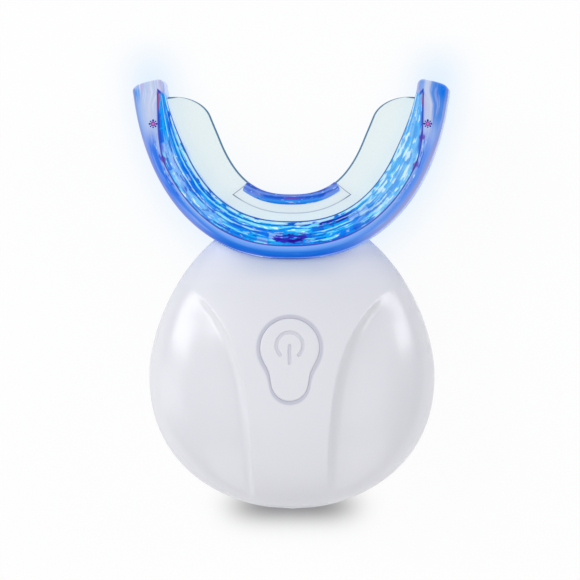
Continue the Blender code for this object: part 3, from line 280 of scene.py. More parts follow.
class GeometryNodes(Nodes):
    """A geometry tree with named inputs that ends in one plain mesh."""

    def __init__(self, name: str) -> None:
        """Starts an empty tree.

        Args:
            name: the tree's name.
        """
        super().__init__(bpy.data.node_groups.new(name, "GeometryNodeTree"))
        for way in ("INPUT", "OUTPUT"):
            self.tree.interface.new_socket("Geometry", in_out=way, socket_type="NodeSocketGeometry")
        self.entry = self.tree.nodes.new("NodeGroupInput")
        self.exit = self.tree.nodes.new("NodeGroupOutput")

    def base(self) -> Wire:
        """The geometry of the object that the tree works on."""
        return Wire(self, self.entry.outputs["Geometry"])

    def named(self, name: str, kind: str = "Float") -> Wire:
        """Adds an input with this name and type of socket, and gives its wire."""
        self.tree.interface.new_socket(name, in_out="INPUT", socket_type="NodeSocket" + kind)
        return Wire(self, self.entry.outputs[name])

    def capture(self, geometry: Wire, kinds: Sequence[str], values: Sequence[Wire]) -> list[Wire]:
        """Keeps values on the points of a geometry, to be used after it is changed.

        Args:
            geometry: the geometry.
            kinds: the type of each value.
            values: the values.

        Returns:
            The geometry's wire, and then a wire for each value.
        """
        node = self.tree.nodes.new("GeometryNodeCaptureAttribute")
        for number, kind in enumerate(kinds):
            node.capture_items.new(kind, f"Value {number}")
        for number, value in enumerate((geometry, *values)):
            self.put(node.inputs[number], value)
        return [Wire(self, node.outputs[number]) for number in range(len(values) + 1)]

    def scaled(self, vector: Wire, amount: Number) -> Wire:
        """A vector times a number."""
        return self.add("ShaderNodeVectorMath", {"operation": "SCALE"},
                        {0: vector, "Scale": amount})

    def summed(self, *vectors: Wire) -> Wire:
        """The sum of several vectors."""
        total = vectors[0]
        for vector in vectors[1:]:
            total = self.add("ShaderNodeVectorMath", {"operation": "ADD"}, {0: total, 1: vector})
        return total

    def copies(self, points: Wire, shape: Wire, **inputs: Wire) -> Wire:
        """A copy of a shape on each point, with the Rotation or Scale that is given."""
        return self.add("GeometryNodeInstanceOnPoints", None,
                        {"Points": points, "Instance": shape, **inputs})

    def close(self, geometry: Wire, material: Wire) -> None:
        """Ends the tree with real instances, smooth faces and a material.

        Args:
            geometry: the geometry to hand out.
            material: the named input that holds the material.
        """
        real = self.add("GeometryNodeRealizeInstances", None, {0: geometry})
        smooth = self.add("GeometryNodeSetShadeSmooth", None, {"Geometry": real})
        painted = self.add("GeometryNodeSetMaterial", None,
                           {"Geometry": smooth, "Material": material})
        self.put(self.exit.inputs[0], painted)

    def apply(self, base: bpy.types.Object, name: str, values: dict) -> bpy.types.Object:
        """Runs the tree on an object and keeps the result as a plain mesh object.

        Args:
            base: the object that the tree starts from. It is removed.
            name: the name of the piece.
            values: values by input name.

        Returns:
            The new mesh object, at the origin.
        """
        modifier = base.modifiers.new(self.tree.name, "NODES")
        modifier.node_group = self.tree
        for item in self.tree.interface.items_tree:
            if item.in_out == "INPUT" and item.name in values:
                modifier[item.identifier] = values[item.name]
        mesh = evaluated_mesh(base, modifier)
        bpy.data.objects.remove(base)
        mesh.name = name
        return link(name, mesh)


def evaluated_mesh(item: bpy.types.Object, modifier: bpy.types.Modifier) -> bpy.types.Mesh:
    """The mesh that a modifier makes of an object.

    Args:
        item: the object.
        modifier: its only modifier. It is removed.

    Returns:
        The plain mesh.
    """
    evaluated = item.evaluated_get(bpy.context.evaluated_depsgraph_get())
    mesh = bpy.data.meshes.new_from_object(evaluated)
    item.modifiers.remove(modifier)
    return mesh


def link(name: str, data: bpy.types.ID) -> bpy.types.Object:
    """A new object with this data, in the scene."""
    item = bpy.data.objects.new(name, data)
    bpy.context.scene.collection.objects.link(item)
    return item


def mesh_of(name: str, points: Iterable[Sequence[float]],
            faces: Sequence[tuple[int, ...]] = ()) -> bpy.types.Mesh:
    """A mesh of points, and of faces between them if there are any."""
    mesh = bpy.data.meshes.new(name)
    mesh.from_pydata([tuple(point) for point in points], [], faces)
    return mesh


def lattice(name: str, rows: np.ndarray, material: bpy.types.Material, round_rows: bool = True,
            round_columns: bool = False, caps: bool = False,
            stored: Optional[tuple[str, np.ndarray]] = None) -> bpy.types.Object:
    """A mesh over a grid of points.

    Args:
        name: the piece's name.
        rows: points as rows, columns and three coordinates.
        material: its finish.
        round_rows: whether each row goes round.
        round_columns: whether the last row meets the first.
        caps: whether the first and last row are closed by a face.
        stored: name and values of an attribute for the material to read.

    Returns:
        The mesh object.
    """
    count, width = rows.shape[:2]
    faces = []
    for row in range(count if round_columns else count - 1):
        after = (row + 1) % count
        for column in range(width if round_rows else width - 1):
            beside = (column + 1) % width
            faces.append((row * width + column, row * width + beside,
                          after * width + beside, after * width + column))
    if caps:
        faces.append(tuple(reversed(range(width))))
        faces.append(tuple(range((count - 1) * width, count * width)))
    mesh = mesh_of(name, rows.reshape(-1, 3), faces)
    if stored:
        keep_vector(mesh, *stored)
    mesh.materials.append(material)
    tidy(mesh)
    return link(name, mesh)


def soften(mesh: bpy.types.Mesh, sharp_degrees: float) -> None:
    """Shades a mesh smooth, but for edges that bend more than this."""
    mesh.shade_smooth()
    mesh.set_sharp_from_angle(angle=math.radians(sharp_degrees))


def tidy(mesh: bpy.types.Mesh, sharp_degrees: float = 50.0) -> None:
    """Merges doubles, turns the faces outwards and shades them smooth.

    Args:
        mesh: the mesh.
        sharp_degrees: edges that bend more than this stay sharp.
    """
    work = bmesh.new()
    work.from_mesh(mesh)
    bmesh.ops.remove_doubles(work, verts=work.verts, dist=MM * 0.0005)
    bmesh.ops.recalc_face_normals(work, faces=work.faces)
    work.to_mesh(mesh)
    work.free()
    soften(mesh, sharp_degrees)


def combine(piece: bpy.types.Object, tool: bpy.types.Object, operation: str) -> None:
    """Joins a tool to a piece or cuts it away, and removes the tool.

    Args:
        piece: the piece that is changed.
        tool: the closed shape that changes it.
        operation: UNION or DIFFERENCE.
    """
    modifier = piece.modifiers.new("combine", "BOOLEAN")
    modifier.operation = operation
    modifier.solver = "EXACT"
    modifier.object = tool
    piece.data = evaluated_mesh(piece, modifier)
    bpy.data.objects.remove(tool)
    soften(piece.data, 40.0)


def keep_vector(mesh: bpy.types.Mesh, name: str, values: np.ndarray) -> None:
    """Stores three numbers for each point of a mesh, for a material to read."""
    attribute = mesh.attributes.new(name, "FLOAT_VECTOR", "POINT")
    attribute.data.foreach_set("vector", values.astype(np.float32).ravel())


def install(piece: bpy.types.Object, body: Body, slot: Slot, *nodes: str) -> None:
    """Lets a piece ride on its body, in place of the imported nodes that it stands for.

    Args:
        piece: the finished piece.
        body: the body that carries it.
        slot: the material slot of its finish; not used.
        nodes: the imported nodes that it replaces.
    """
    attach(piece, body.value)
    if nodes:
        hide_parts(*nodes)
    log.info("%s: %d faces, rides on %s", piece.name, len(piece.data.polygons), body.value)


def smoothstep(value: np.ndarray) -> np.ndarray:
    """Smooth step from 0 at 0 to 1 at 1."""
    inside = np.clip(value, 0.0, 1.0)
    return inside * inside * (3.0 - 2.0 * inside)


def round_turns(count: int) -> np.ndarray:
    """Even directions round a full turn."""
    return np.linspace(0.0, TURN, count, endpoint=False)


def srgb(red: int, green: int, blue: int) -> Colour:
    """A screen colour, 0 to 255 each, as the linear colour that shaders use."""
    shares = [value / 255 for value in (red, green, blue)]
    linear = [share / 12.92 if share <= 0.04045 else ((share + 0.055) / 1.055) ** 2.4
              for share in shares]
    return (linear[0], linear[1], linear[2])


def blank_material(name: str) -> tuple[bpy.types.Material, Nodes, bpy.types.NodeSocket]:
    """A material with an empty tree but for its output, with the tree and the output's socket."""
    material = bpy.data.materials.new(name)
    material.use_nodes = True
    material.node_tree.nodes.clear()
    output = material.node_tree.nodes.new("ShaderNodeOutputMaterial")
    return material, Nodes(material.node_tree), output.inputs["Surface"]


# Finishes


@dataclass(frozen=True)
class Finish:
    """One material. Its pattern comes from nodes, over the piece's own coordinates."""

    name: str
    colour: Colour
    roughness: float = 0.4
    metallic: float = 0.0
    coat: float = 0.0
    coat_roughness: float = 0.05

    def make(self) -> bpy.types.Material:
        """Builds the material.

        Returns:
            The material.
        """
        material, nodes, surface = blank_material(self.name)
        shader = material.node_tree.nodes.new("ShaderNodeBsdfPrincipled")
        nodes.put(surface, Wire(nodes, shader.outputs[0]))
        sockets = {"Base Color": self.colour, "Roughness": self.roughness,
                   "Metallic": self.metallic, "Coat Weight": self.coat,
                   "Coat Roughness": self.coat_roughness, **self.pattern(nodes)}
        for name, value in sockets.items():
            nodes.put(shader.inputs[name], value)
        return material

    def pattern(self, nodes: Nodes) -> Sockets:
        """What varies over the surface, or is set besides the fields, by the shader's socket."""
        return {}


def lit(nodes: Nodes, paint: Wire, strength: float, dark: float, mirror: float) -> Sockets:
    """Sockets of clear plastic that is lit from within.

    Args:
        nodes: the tree.
        paint: its colour.
        strength: how strongly it glows.
        dark: how much of the colour is held back from the light that falls on it.
        mirror: its specular level.

    Returns:
        Values by the shader's socket.
    """
    return {"Base Color": nodes.blend(dark, paint, BLACK), "Emission Color": paint,
            "Emission Strength": strength, "Specular IOR Level": mirror}


class Grain(Enum):
    """The kinds of surface texture that a grained finish may have."""

    FINE = "fine"
    BRUSHED = "brushed"
    CELLS = "cells"
    CREASED = "creased"


@dataclass(frozen=True)
class Grained(Finish):
    """Moulded plastic, rubber, metal, foil or foam with its own grain. Sizes in millimetres."""

    grain: Grain = Grain.FINE
    size: float = 0.4
    spread: float = 0.08
    relief: float = 0.02
    mottle: float = 3.0

    def pattern(self, nodes: Nodes) -> Sockets:
        """Grain in the colour, the roughness and the relief."""
        here = nodes.here()
        scale = 1 / (self.size * MM)
        if self.grain is Grain.BRUSHED:
            x, y, z = nodes.parts(here)
            fine = nodes.noise(nodes.vector(x * 0.06, y, z), scale, 3.0, 0.6)
        elif self.grain is Grain.CELLS:
            fine = nodes.add("ShaderNodeTexVoronoi", {"feature": "F1"},
                             {"Vector": here, "Scale": scale})
        elif self.grain is Grain.CREASED:
            fine = nodes.noise(here, scale, 6.0, 0.7)
        else:
            fine = nodes.noise(here, scale)
        broad = nodes.noise(here, 1 / (self.mottle * MM))
        shade = 1 - self.spread * (fine * 0.5 + broad * 0.5)
        return {"Base Color": nodes.shaded(self.colour, shade),
                "Roughness": self.roughness + (broad - 0.5) * self.spread,
                "Normal": nodes.bump(fine, 0.5, self.relief)}


@dataclass(frozen=True)
class HandleWhite(Finish):
    """Gloss white plastic: painted blue light from the lit tray near it, painted shade under the
    tray, faint moulding ripple.

    The attribute "marks" holds painted shade in the engraving and in the groove round the button,
    and the panel.
    """

    painted_tray_light: Colour = (0.60, 0.69, 0.80)
    painted_tray_shade: Colour = (0.38, 0.47, 0.60)
    panel_rough: float = 0.15
    panel_dull: float = 0.75

    def pattern(self, nodes: Nodes) -> Sockets:
        """Painted blue light and painted shade near the tray, painted shade in the engraving, the
        groove and at the rim, faint cloudiness and the ripple of a moulded surface.
        """
        here = nodes.here()
        x, y, _ = nodes.parts(here)
        # Painted blue light from the lit tray, strongest next to it, and painted shade under the
        # tray's edge in the middle.
        near = nodes.rise(y, 0.0, 12)
        close = nodes.rise(y, 2.0, 6.5) * (1 - nodes.rise(abs(x), 4, 15))
        cloudy = nodes.noise(here, 1 / (9 * MM))
        # Darker where the surface turns away from the camera: painted shade at the rim. The
        # cloudiness is the plastic's own tone.
        facing = nodes.add("ShaderNodeLayerWeight", None, {"Blend": 0.5}, "Facing")
        shade = 1 - 0.02 * cloudy - 0.1 * nodes.smooth(facing, 0.5, 0.95)
        sunk, groove, panel = nodes.stored("marks")
        paint = Layers(nodes, nodes.shaded(self.colour, shade))
        # Painted shade in the engraved symbol and in the groove round the button.
        paint.lay(sunk * 0.24 + groove * 0.5, 156, 156, 180)
        # Painted blue light from the tray near it; in the return below, painted shade under the
        # tray's edge.
        colour = nodes.blend(near * 0.2, paint.colour, self.painted_tray_light)
        ripple = nodes.noise(here, 1 / (2.4 * MM), 1.0, 0.4)
        uneven = 0.05 * (nodes.noise(here, 1 / (5 * MM)) - 0.5)
        return {"Base Color": nodes.blend(close * 0.5, colour, self.painted_tray_shade),
                "Roughness": self.roughness + self.panel_rough * panel + uneven,
                "Coat Weight": self.coat * (1 - self.panel_dull * panel),
                "Normal": nodes.bump(ripple, 0.12, 0.05)}


@dataclass(frozen=True)
class LitWall(Finish):
    """Clear soft wall lit from within, its glow painted: a smooth outer band and a sparkling band
    of lights.

    The attribute "arch" holds the distance along the arch, in from its outer face, and over
    the bite plane. The dark line between the bands is the edge of the light bar inside.
    """

    wall: float = 7.8 * MM
    wall_at_tips: float = 6.7 * MM
    line_front: float = 2.65 * MM
    line_swing: float = 2.6 * MM
    lights_end: float = 36.2 * MM
    tip_run: float = 55.6 * MM
    pitch: float = 9.6 * MM
    row: float = 3.0 * MM
    knots: tuple[tuple[float, float], ...] = ((42.2, 1.9), (36.0, 2.3), (-37.4, 2.6))

    def pattern(self, nodes: Nodes) -> Sockets:
        """The bands seen on the edges of the wall, and the glow of the lights on its faces."""
        smooth, rise = nodes.smooth, nodes.rise
        along, inward, level = nodes.stored("arch")
        run = abs(along)
        taper = smooth(run, self.lights_end, self.tip_run)
        wall = self.wall - (self.wall - self.wall_at_tips) * taper
        edge = self.line_front + self.line_swing * rise(run, 35, 54)
        inner = (inward - edge) / (wall - edge)
        wobble = nodes.speckle(along / (2.2 * MM), inner * 9.0, 3.1, 1.0)
        past = rise(run + 2.0 * MM * inner + 0.7 * MM * wobble, 53.5, 53.9)
        outer = inward / (edge + (wall - edge) * rise(run, 49.5, 53.3))
        top = Layers(nodes, nodes.blend(smooth(inner, -0.01, 0.01) * (1 - past),
                                        self.outer_band(nodes, run, outer, along),
                                        self.light_band(nodes, run, inner, along, level)))
        off_line = abs(inward - edge) / (0.75 * MM) + 1.4 * (wobble - 0.5)
        for place, length in self.knots:
            off = off_line + abs(along - place * MM) / (length * MM)
            top.lay((1 - smooth(off, 0.5, 0.9)) * 0.85, 104, 32, 160)
        dark_line = nodes.line(inward, edge, 0.22 * MM)
        top.lay(dark_line * 0.85 * (1 - rise(run, 51.9, 52.9)), 58, 62, 176)
        is_top = rise(abs(level), 6.9, 7.7)
        side = self.faces(nodes, along, inward, level, wall)
        ripple = nodes.noise(nodes.vector(along * 0.25, inward, level), 1 / (0.7 * MM))
        return {**lit(nodes, nodes.blend(is_top, side, top.colour), 0.82, 0.85, 0.06),
                "Alpha": 0.62 + 0.38 * is_top, "Normal": nodes.bump(ripple, 0.35, 0.06)}

    def outer_band(self, nodes: Nodes, run: Wire, outer: Wire, along: Wire) -> Wire:
        """Smooth outer band, seen on the edge of the wall, with painted highlight streaks and
        glints.

        Args:
            nodes: the tree.
            run: distance from the middle of the arch.
            outer: 0 at the outer face, 1 at the dark line.
            along: distance along the arch, with its sign.

        Returns:
            Its colour.
        """
        smooth, rise, line, speckle = nodes.smooth, nodes.rise, nodes.line, nodes.speckle
        middle = nodes.ramp(outer, (0.0, 150, 172, 242), (0.1, 8, 92, 214), (0.26, 0, 106, 222),
                            (0.46, 26, 114, 222), (0.66, 92, 154, 244), (0.9, 132, 174, 250),
                            (1.0, 112, 112, 216))
        side = nodes.ramp(outer, (0.0, 158, 156, 206), (0.14, 116, 142, 226), (0.36, 112, 156, 244),
                          (0.6, 64, 130, 234), (0.8, 118, 168, 242), (0.95, 164, 190, 242))
        tip = nodes.ramp(outer, (0.0, 124, 152, 220), (0.1, 128, 172, 240), (0.3, 174, 196, 240),
                         (0.6, 198, 210, 238), (0.88, 188, 202, 238), (1.0, 152, 172, 230))
        arm = rise(run, 12, 24)
        paint = Layers(nodes, nodes.blend(rise(run, 38, 48), nodes.blend(arm, middle, side), tip))
        streaks = speckle(along / (9 * MM), outer * 4.0, 0.0)
        short = speckle(along / (2.2 * MM), outer * 9.0, 0.0, rough=0.6)
        # Pale streaks along the band: painted highlights.
        paint.lay(smooth(streaks, 0.54, 0.7) * 0.3 * (0.3 + 0.7 * arm), 196, 204, 252)
        stretch = rise(run, 24, 32) * (1 - rise(run, 40, 45))
        far_side = rise(along, 6, 18)
        edge_grey = far_side * (1 - rise(run, 38, 46))
        paint.lay(edge_grey * 0.35, 128, 168, 240)
        blue = stretch * line(outer, 0.5, 0.34) * smooth(streaks, 0.34, 0.5)
        paint.lay(blue * (1 - 0.8 * far_side) * 0.75, 24, 112, 234)
        dashes = stretch * line(outer, 0.78, 0.2)
        # Dark dashes, then pale dashes that are painted glints.
        paint.lay(dashes * smooth(short, 0.54, 0.62) * 0.8, 14, 66, 214)
        paint.lay(dashes * smooth(1 - short, 0.62, 0.7) * 0.9, 196, 240, 255)
        at_tip = rise(run, 46, 50)
        rosy = smooth(speckle(along / (14 * MM), outer * 5.0, 4.0), 0.48, 0.6)
        paint.lay(rosy * at_tip * 0.5, 198, 180, 222)
        brush = speckle(along / (6 * MM), outer * 14.0, 2.0, rough=0.6)
        corner = rise(run, 50, 52.5) * (1 - smooth(outer, 0.16, 0.3)) * (1 - rise(run, 53.6, 54.8))
        paint.lay(corner * smooth(brush, 0.34, 0.5) * 0.8, 48, 150, 232)
        pale = at_tip * smooth(brush, 0.52, 0.66) * (1 - 0.65 * rise(along, 0, 1))
        paint.lay(pale * 0.55, 226, 232, 246)
        paint.lay(at_tip * smooth(1 - brush, 0.58, 0.7) * 0.4, 140, 168, 222)
        right = rise(along, 42, 48)
        beside = right * (1 - smooth(outer, 0.5, 0.66)) * smooth(outer, 0.06, 0.16)
        paint.lay(beside * (0.6 + 0.4 * smooth(brush, 0.4, 0.5)) * 0.9, 52, 130, 226)
        paint.lay(rise(along, 50, 53) * (1 - smooth(outer, 0.2, 0.5)) * 0.9, 0, 118, 234)
        paint.lay(right * rise(along, 51, 53) * line(outer, 0.86, 0.12) * 0.7, 74, 150, 234)
        rim = 1 - smooth(outer, 0.05, 0.14 + 0.3 * edge_grey)
        rim_colour = nodes.blend(edge_grey, srgb(140, 142, 200), srgb(164, 162, 200))
        return nodes.blend(rim * (0.62 + 0.26 * edge_grey) * arm, paint.colour, rim_colour)

    def light_band(self, nodes: Nodes, run: Wire, inner: Wire, along: Wire, level: Wire) -> Wire:
        """Sparkling band over the light bar, with painted highlights, glints and reflections of the
        lights.

        Args:
            nodes: the tree.
            run: distance from the middle of the arch.
            inner: 0 at the dark line, 1 at the inner face.
            along: distance along the arch, with its sign.
            level: height over the bite plane.

        Returns:
            Its colour.
        """
        smooth, rise, line, speckle = nodes.smooth, nodes.rise, nodes.line, nodes.speckle
        side = nodes.math("SIGN", level) * 7.3
        wave = speckle(along / (8 * MM), side, 0.0)
        across = inner + 0.1 * (wave - 0.5)
        patches = speckle(along / (7 * MM), across * 2.6, side)
        streaks = speckle(along / (6.0 * MM), across * 11.0, side, 1.0)
        fine = speckle(along / (2.2 * MM), across * 9.0, side + 3.1, 1.5)
        grain = speckle(along / (0.5 * MM), across * 18.0, side, 1.0)
        bright = smooth(streaks, 0.57, 0.61)
        near = 1 - rise(run, 37, 44)
        reach = 0.1 + 0.9 * near
        paint = Layers(nodes, nodes.blend(smooth(patches, 0.44, 0.56), srgb(0, 138, 246),
                                          srgb(6, 170, 255)))
        paint.lay((1 - smooth(patches, 0.3, 0.4)) * 0.8, 0, 104, 236)
        paint.lay(smooth(grain, 0.55, 0.7) * 0.35, 0, 92, 226)
        haze = line(inner, 0.3, 0.34) * rise(run, 12, 26) * near
        paint.lay(haze * smooth(patches, 0.34, 0.5) * 0.62, 158, 190, 248)
        self.blocks(paint, along / (3.3 * MM) + wave, across * 4.2, side)
        paint.lay((1 - smooth(streaks, 0.32, 0.37)) * 0.6, 6, 80, 200)
        edges = line(inner, 0.1, 0.18) + line(inner, 0.8, 0.24)
        gain = (0.35 + 0.5 * (1 - rise(run, 17, 30)) + 0.5 * edges) * reach
        # Painted highlights of the lights: cyan-white streaks and glints, with dark blue lines
        # between them.
        paint.lay(bright * gain, 118, 224, 255)
        paint.lay(smooth(fine, 0.62, 0.66) * (0.3 + 0.7 * bright) * reach, 226, 253, 255)
        paint.lay(smooth(1 - fine, 0.62, 0.66) * near * 0.6, 0, 66, 190)
        dash = line(along, 11.5 * MM, 5.5 * MM) * line(inner, 0.7 + 0.1 * wave, 0.13)
        paint.lay(smooth(dash, 0.15, 0.4) * smooth(fine, 0.34, 0.44), 36, 26, 176)
        # Thin lines along the band: dark blue ones, and pale ones that are painted reflections.
        threads = rise(run, 5, 9)
        for place, width, share, *tint in (
                (0.42, 0.028, 0.8, 24, 78, 186), (0.49, 0.03, 0.7, 186, 238, 255),
                (0.62, 0.026, 0.7, 20, 80, 200), (0.71, 0.03, 0.6, 170, 236, 255),
                (0.78, 0.024, 0.8, 16, 70, 178)):
            mask = line(across, place, width) * threads * smooth(streaks + fine, 0.84, 0.94)
            paint.lay(mask * share, *tint)
        right = rise(along, 14, 30)
        paint.lay(right * 0.5, 118, 204, 255)
        # Painted glints on the far arm.
        sparks = smooth(fine, 0.5, 0.56) * smooth(streaks, 0.4, 0.52)
        paint.lay(right * sparks * 0.8, 222, 250, 255)
        # A painted highlight near the inner edge, and a dark line on the edge itself.
        paint.lay(line(inner, 0.9, 0.07) * smooth(fine, 0.42, 0.5) * 0.85, 196, 242, 252)
        paint.lay(line(inner, 0.985, 0.055) * 0.9, 22, 74, 158)
        self.front_patch(paint, run, inner, along, fine)
        self.light_guide(paint, run, inner, along, fine)
        return paint.colour

    def blocks(self, paint: Layers, column: Wire, lane: Wire, side: Wire) -> None:
        """Pale and dark blocks where the lights' packages show through.

        Args:
            paint: the colour that they go on.
            column: place along the arch, in blocks.
            lane: place across the band, in blocks.
            side: a value for each edge of the wall.
        """
        nodes = paint.nodes
        drawn = nodes.draw(nodes.math("FLOOR", column), nodes.math("FLOOR", lane), side)
        inside = (1 - nodes.line(nodes.math("FRACT", column), 0.0, 0.12)) * (
            1 - nodes.line(nodes.math("FRACT", lane), 0.0, 0.2))
        paint.lay(nodes.smooth(drawn, 0.8, 0.82) * inside * 0.75, 150, 188, 250)
        paint.lay((1 - nodes.smooth(drawn, 0.14, 0.16)) * inside * 0.7, 0, 84, 220)

    def front_patch(self, paint: Layers, run: Wire, inner: Wire, along: Wire, fine: Wire) -> None:
        """Ragged violet patch in the middle of the arch.

        Args:
            paint: the colour that it goes on.
            run: distance from the middle of the arch.
            inner: 0 at the dark line, 1 at the inner face.
            along: distance along the arch, with its sign.
            fine: fine noise over the band.
        """
        nodes = paint.nodes
        crumb = nodes.speckle(along / (1.9 * MM), inner * 8.0, 5.0, 1.0)
        reach = 4.6 * MM - run - 3 * MM * abs(inner - 0.3)
        patch = nodes.rise(reach + 5 * MM * (fine - 0.5), 0.6, 1.2)
        patch = patch * nodes.line(inner + 0.5 * (crumb - 0.5), 0.3, 0.24)
        violet = nodes.blend(nodes.smooth(fine, 0.4, 0.6), srgb(34, 0, 150), srgb(50, 40, 190))
        paint.colour = nodes.blend(patch * nodes.smooth(crumb, 0.3, 0.42), paint.colour, violet)

    def light_guide(self, paint: Layers, run: Wire, inner: Wire, along: Wire, fine: Wire) -> None:
        """Red and dark blue along the tapered ends of the light bar.

        Args:
            paint: the colour that they go on.
            run: distance from the middle of the arch.
            inner: 0 at the dark line, 1 at the inner face.
            along: distance along the arch, with its sign.
            fine: fine noise over the band.
        """
        nodes, smooth, rise = paint.nodes, paint.nodes.smooth, paint.nodes.rise
        flare = 0.16 + 0.3 * rise(run, 49, 52)
        red = rise(run, 47.5, 49) * (1 - smooth(inner / flare, 0.7, 1.2))
        red = red * smooth(fine - 0.2 * rise(along, 0, 1), 0.28, 0.42)
        paint.lay(red * 0.9, 180, 86, 116)
        dark = nodes.line(inner, 0.0, 0.2) * rise(run, 38, 40)
        paint.lay(dark * (1 - red) * 0.7, 20, 66, 214)
        end = nodes.line(run + 2.0 * MM * inner + 0.7 * MM * fine, 53.2 * MM, 0.7 * MM)
        paint.lay(end * (1 - smooth(inner, 0.4, 0.6)) * 0.9, 24, 70, 196)

    def faces(self, nodes: Nodes, along: Wire, inward: Wire, level: Wire, wall: Wire) -> Wire:
        """Upright faces of the wall, with a glow in front of each light.

        Args:
            nodes: the tree.
            along: distance along the arch, with its sign.
            inward: distance in from the outer face.
            level: height over the bite plane.
            wall: thickness of the wall.

        Returns:
            Its colour.
        """
        cell = nodes.math("FRACT", along / self.pitch) - 0.5
        glow = nodes.bell(cell * self.pitch / (2.6 * MM), (abs(level) - self.row) / (2.2 * MM))
        near = 1 - nodes.smooth(abs(along), self.lights_end, 41 * MM)
        paint = Layers(nodes, nodes.blend(nodes.rise(abs(level), 2, 9), srgb(30, 118, 240),
                                          srgb(108, 146, 246)))
        paint.lay(1 - near, 158, 176, 246)
        streaks = nodes.speckle(along / (1.1 * MM), level / (7 * MM), inward / (4 * MM), rough=0.6)
        paint.lay(nodes.smooth(streaks, 0.55, 0.72) * 0.4, 168, 196, 255)
        inner_side = nodes.smooth(inward / wall, 0.45, 0.7)
        paint.lay(glow * near * (0.55 + 0.45 * inner_side), 186, 240, 255)
        return paint.colour


@dataclass(frozen=True)
class ClearPlate(Finish):
    """Clear soft sheet: faint green-grey body, dark rim where its edge turns away.

    The attribute "plate" holds the distance to its free edge, the distance along the arch and
    the distance in from the arch's outer face.
    """

    rim: float = 0.52 * MM
    step_place: float = 9.5 * MM
    step_run: float = 19.6 * MM
    step_bow: float = 0.5 * MM
    step_slope: float = 0.55

    def pattern(self, nodes: Nodes) -> Sockets:
        """A see-through body, a darker rim and the shadow of the step near the tongue wall."""
        to_edge, along, inward = nodes.stored("plate")
        here, run = nodes.here(), abs(along)
        rim = 1 - nodes.smooth(to_edge, self.rim * 0.5, self.rim)
        cloudy = nodes.noise(here, 1 / (6 * MM), 3.0)
        paint = Layers(nodes, nodes.blend(cloudy, self.colour, srgb(232, 242, 240)))
        paint.lay((1 - nodes.rise(to_edge, 0, 2.4)) * 0.2, 214, 232, 238)
        paint.lay((1 - nodes.rise(inward, 8.2, 11)) * 0.2, 212, 242, 244)
        paint.lay(rim * 0.95, 14, 100, 142)
        front = inward - self.step_place - self.step_bow * nodes.smooth(run, 0.0, self.step_run)
        side = self.step_run - self.step_slope * (inward - self.step_place) - run
        step = nodes.line(nodes.math("MINIMUM", front, side), 0.0, 0.16 * MM)
        near_end = nodes.smooth(run, self.step_run - 5 * MM, self.step_run - 1 * MM)
        paint.lay(step * (0.45 + 0.45 * near_end), 84, 104, 150)
        ripple = nodes.noise(here, 1 / (2.2 * MM), 1.0, 0.4)
        # Its glow is painted light, which makes the sheet lighter than the lamps alone would.
        return {**lit(nodes, paint.colour, 0.74, 0.7, 0.15),
                "Alpha": 0.62 + 0.35 * rim + 0.2 * step, "Normal": nodes.bump(ripple, 0.2, 0.05)}


@dataclass(frozen=True)
class LitEdge(Finish):
    """Thin clear wall whose edges and faces pick up the light of the arch."""

    first: float = 11.25 * MM
    thickness: float = 2.15 * MM

    def pattern(self, nodes: Nodes) -> Sockets:
        """Blue and violet streaks along the wall, with pale glints."""
        smooth, line = nodes.smooth, nodes.line
        along, inward, level = nodes.stored("arch")
        share = (inward - self.first) / self.thickness
        broad = nodes.speckle(along / (7 * MM), share * 1.2, level / (8 * MM), 1.0)
        short = nodes.speckle(along / (2.6 * MM), share * 6.0, level / (6 * MM), rough=0.6)
        paint = Layers(nodes, nodes.ramp(
            share + 0.16 * (short - 0.5), (0.0, 20, 108, 214), (0.16, 24, 134, 236),
            (0.34, 58, 148, 238), (0.52, 40, 104, 222), (0.68, 8, 82, 200), (0.84, 104, 150, 238),
            (1.0, 60, 92, 196)))
        ends = nodes.rise(abs(along), 6, 12)
        paint.lay(ends * smooth(broad, 0.4, 0.6) * 0.55, 134, 158, 232)
        dark = ends * (1 - smooth(broad, 0.34, 0.5)) * line(share, 0.45, 0.4)
        paint.lay(dark * 0.8, 24, 72, 200)
        paint.lay(nodes.bell(along / (2 * MM)) * line(share, 0.66, 0.14) * 0.8, 128, 60, 170)
        paint.lay(smooth(short, 0.62, 0.7) * 0.6, 196, 226, 255)
        return {**lit(nodes, paint.colour, 0.82, 0.85, 0.06),
                "Alpha": 0.55 + 0.45 * nodes.rise(abs(level), 3.6, 4.1),
                "Normal": nodes.bump(short, 0.3, 0.05)}


@dataclass(frozen=True)
class PinViolet(Finish):
    """Small pin seen end on, with a second colour in its middle."""

    second: Colour = (0.8, 0.4, 0.7)
    centre: tuple[float, float] = (28.58 * MM, 35.32 * MM)

    def pattern(self, nodes: Nodes) -> Sockets:
        """A pink middle in a violet ring."""
        here = nodes.here()
        x, y, _ = nodes.parts(here)
        off_x, off_y = abs(x) - self.centre[0], y - self.centre[1]
        off = (off_x * off_x + off_y * off_y) ** 0.5
        speck = nodes.noise(here, 1 / (0.3 * MM), 2.0, 0.6)
        middle = 1 - nodes.rise(off + 0.2 * MM * (speck - 0.5), 0.2, 0.42)
        # The pin and the dots glow: painted light.
        return lit(nodes, nodes.blend(middle, self.colour, self.second), 0.6, 0.6, 0.2)


@dataclass(frozen=True)
class LampBlue(Finish):
    """Lit lens of a light: bright cyan middle on an azure body."""

    def pattern(self, nodes: Nodes) -> Sockets:
        """A bright die below a slightly uneven lens."""
        cells = nodes.noise(nodes.here(), 1 / (0.9 * MM), 1.0)
        glow = nodes.blend(nodes.smooth(cells, 0.35, 0.6), self.colour, srgb(190, 250, 255))
        return {"Emission Color": glow, "Emission Strength": 1.6}


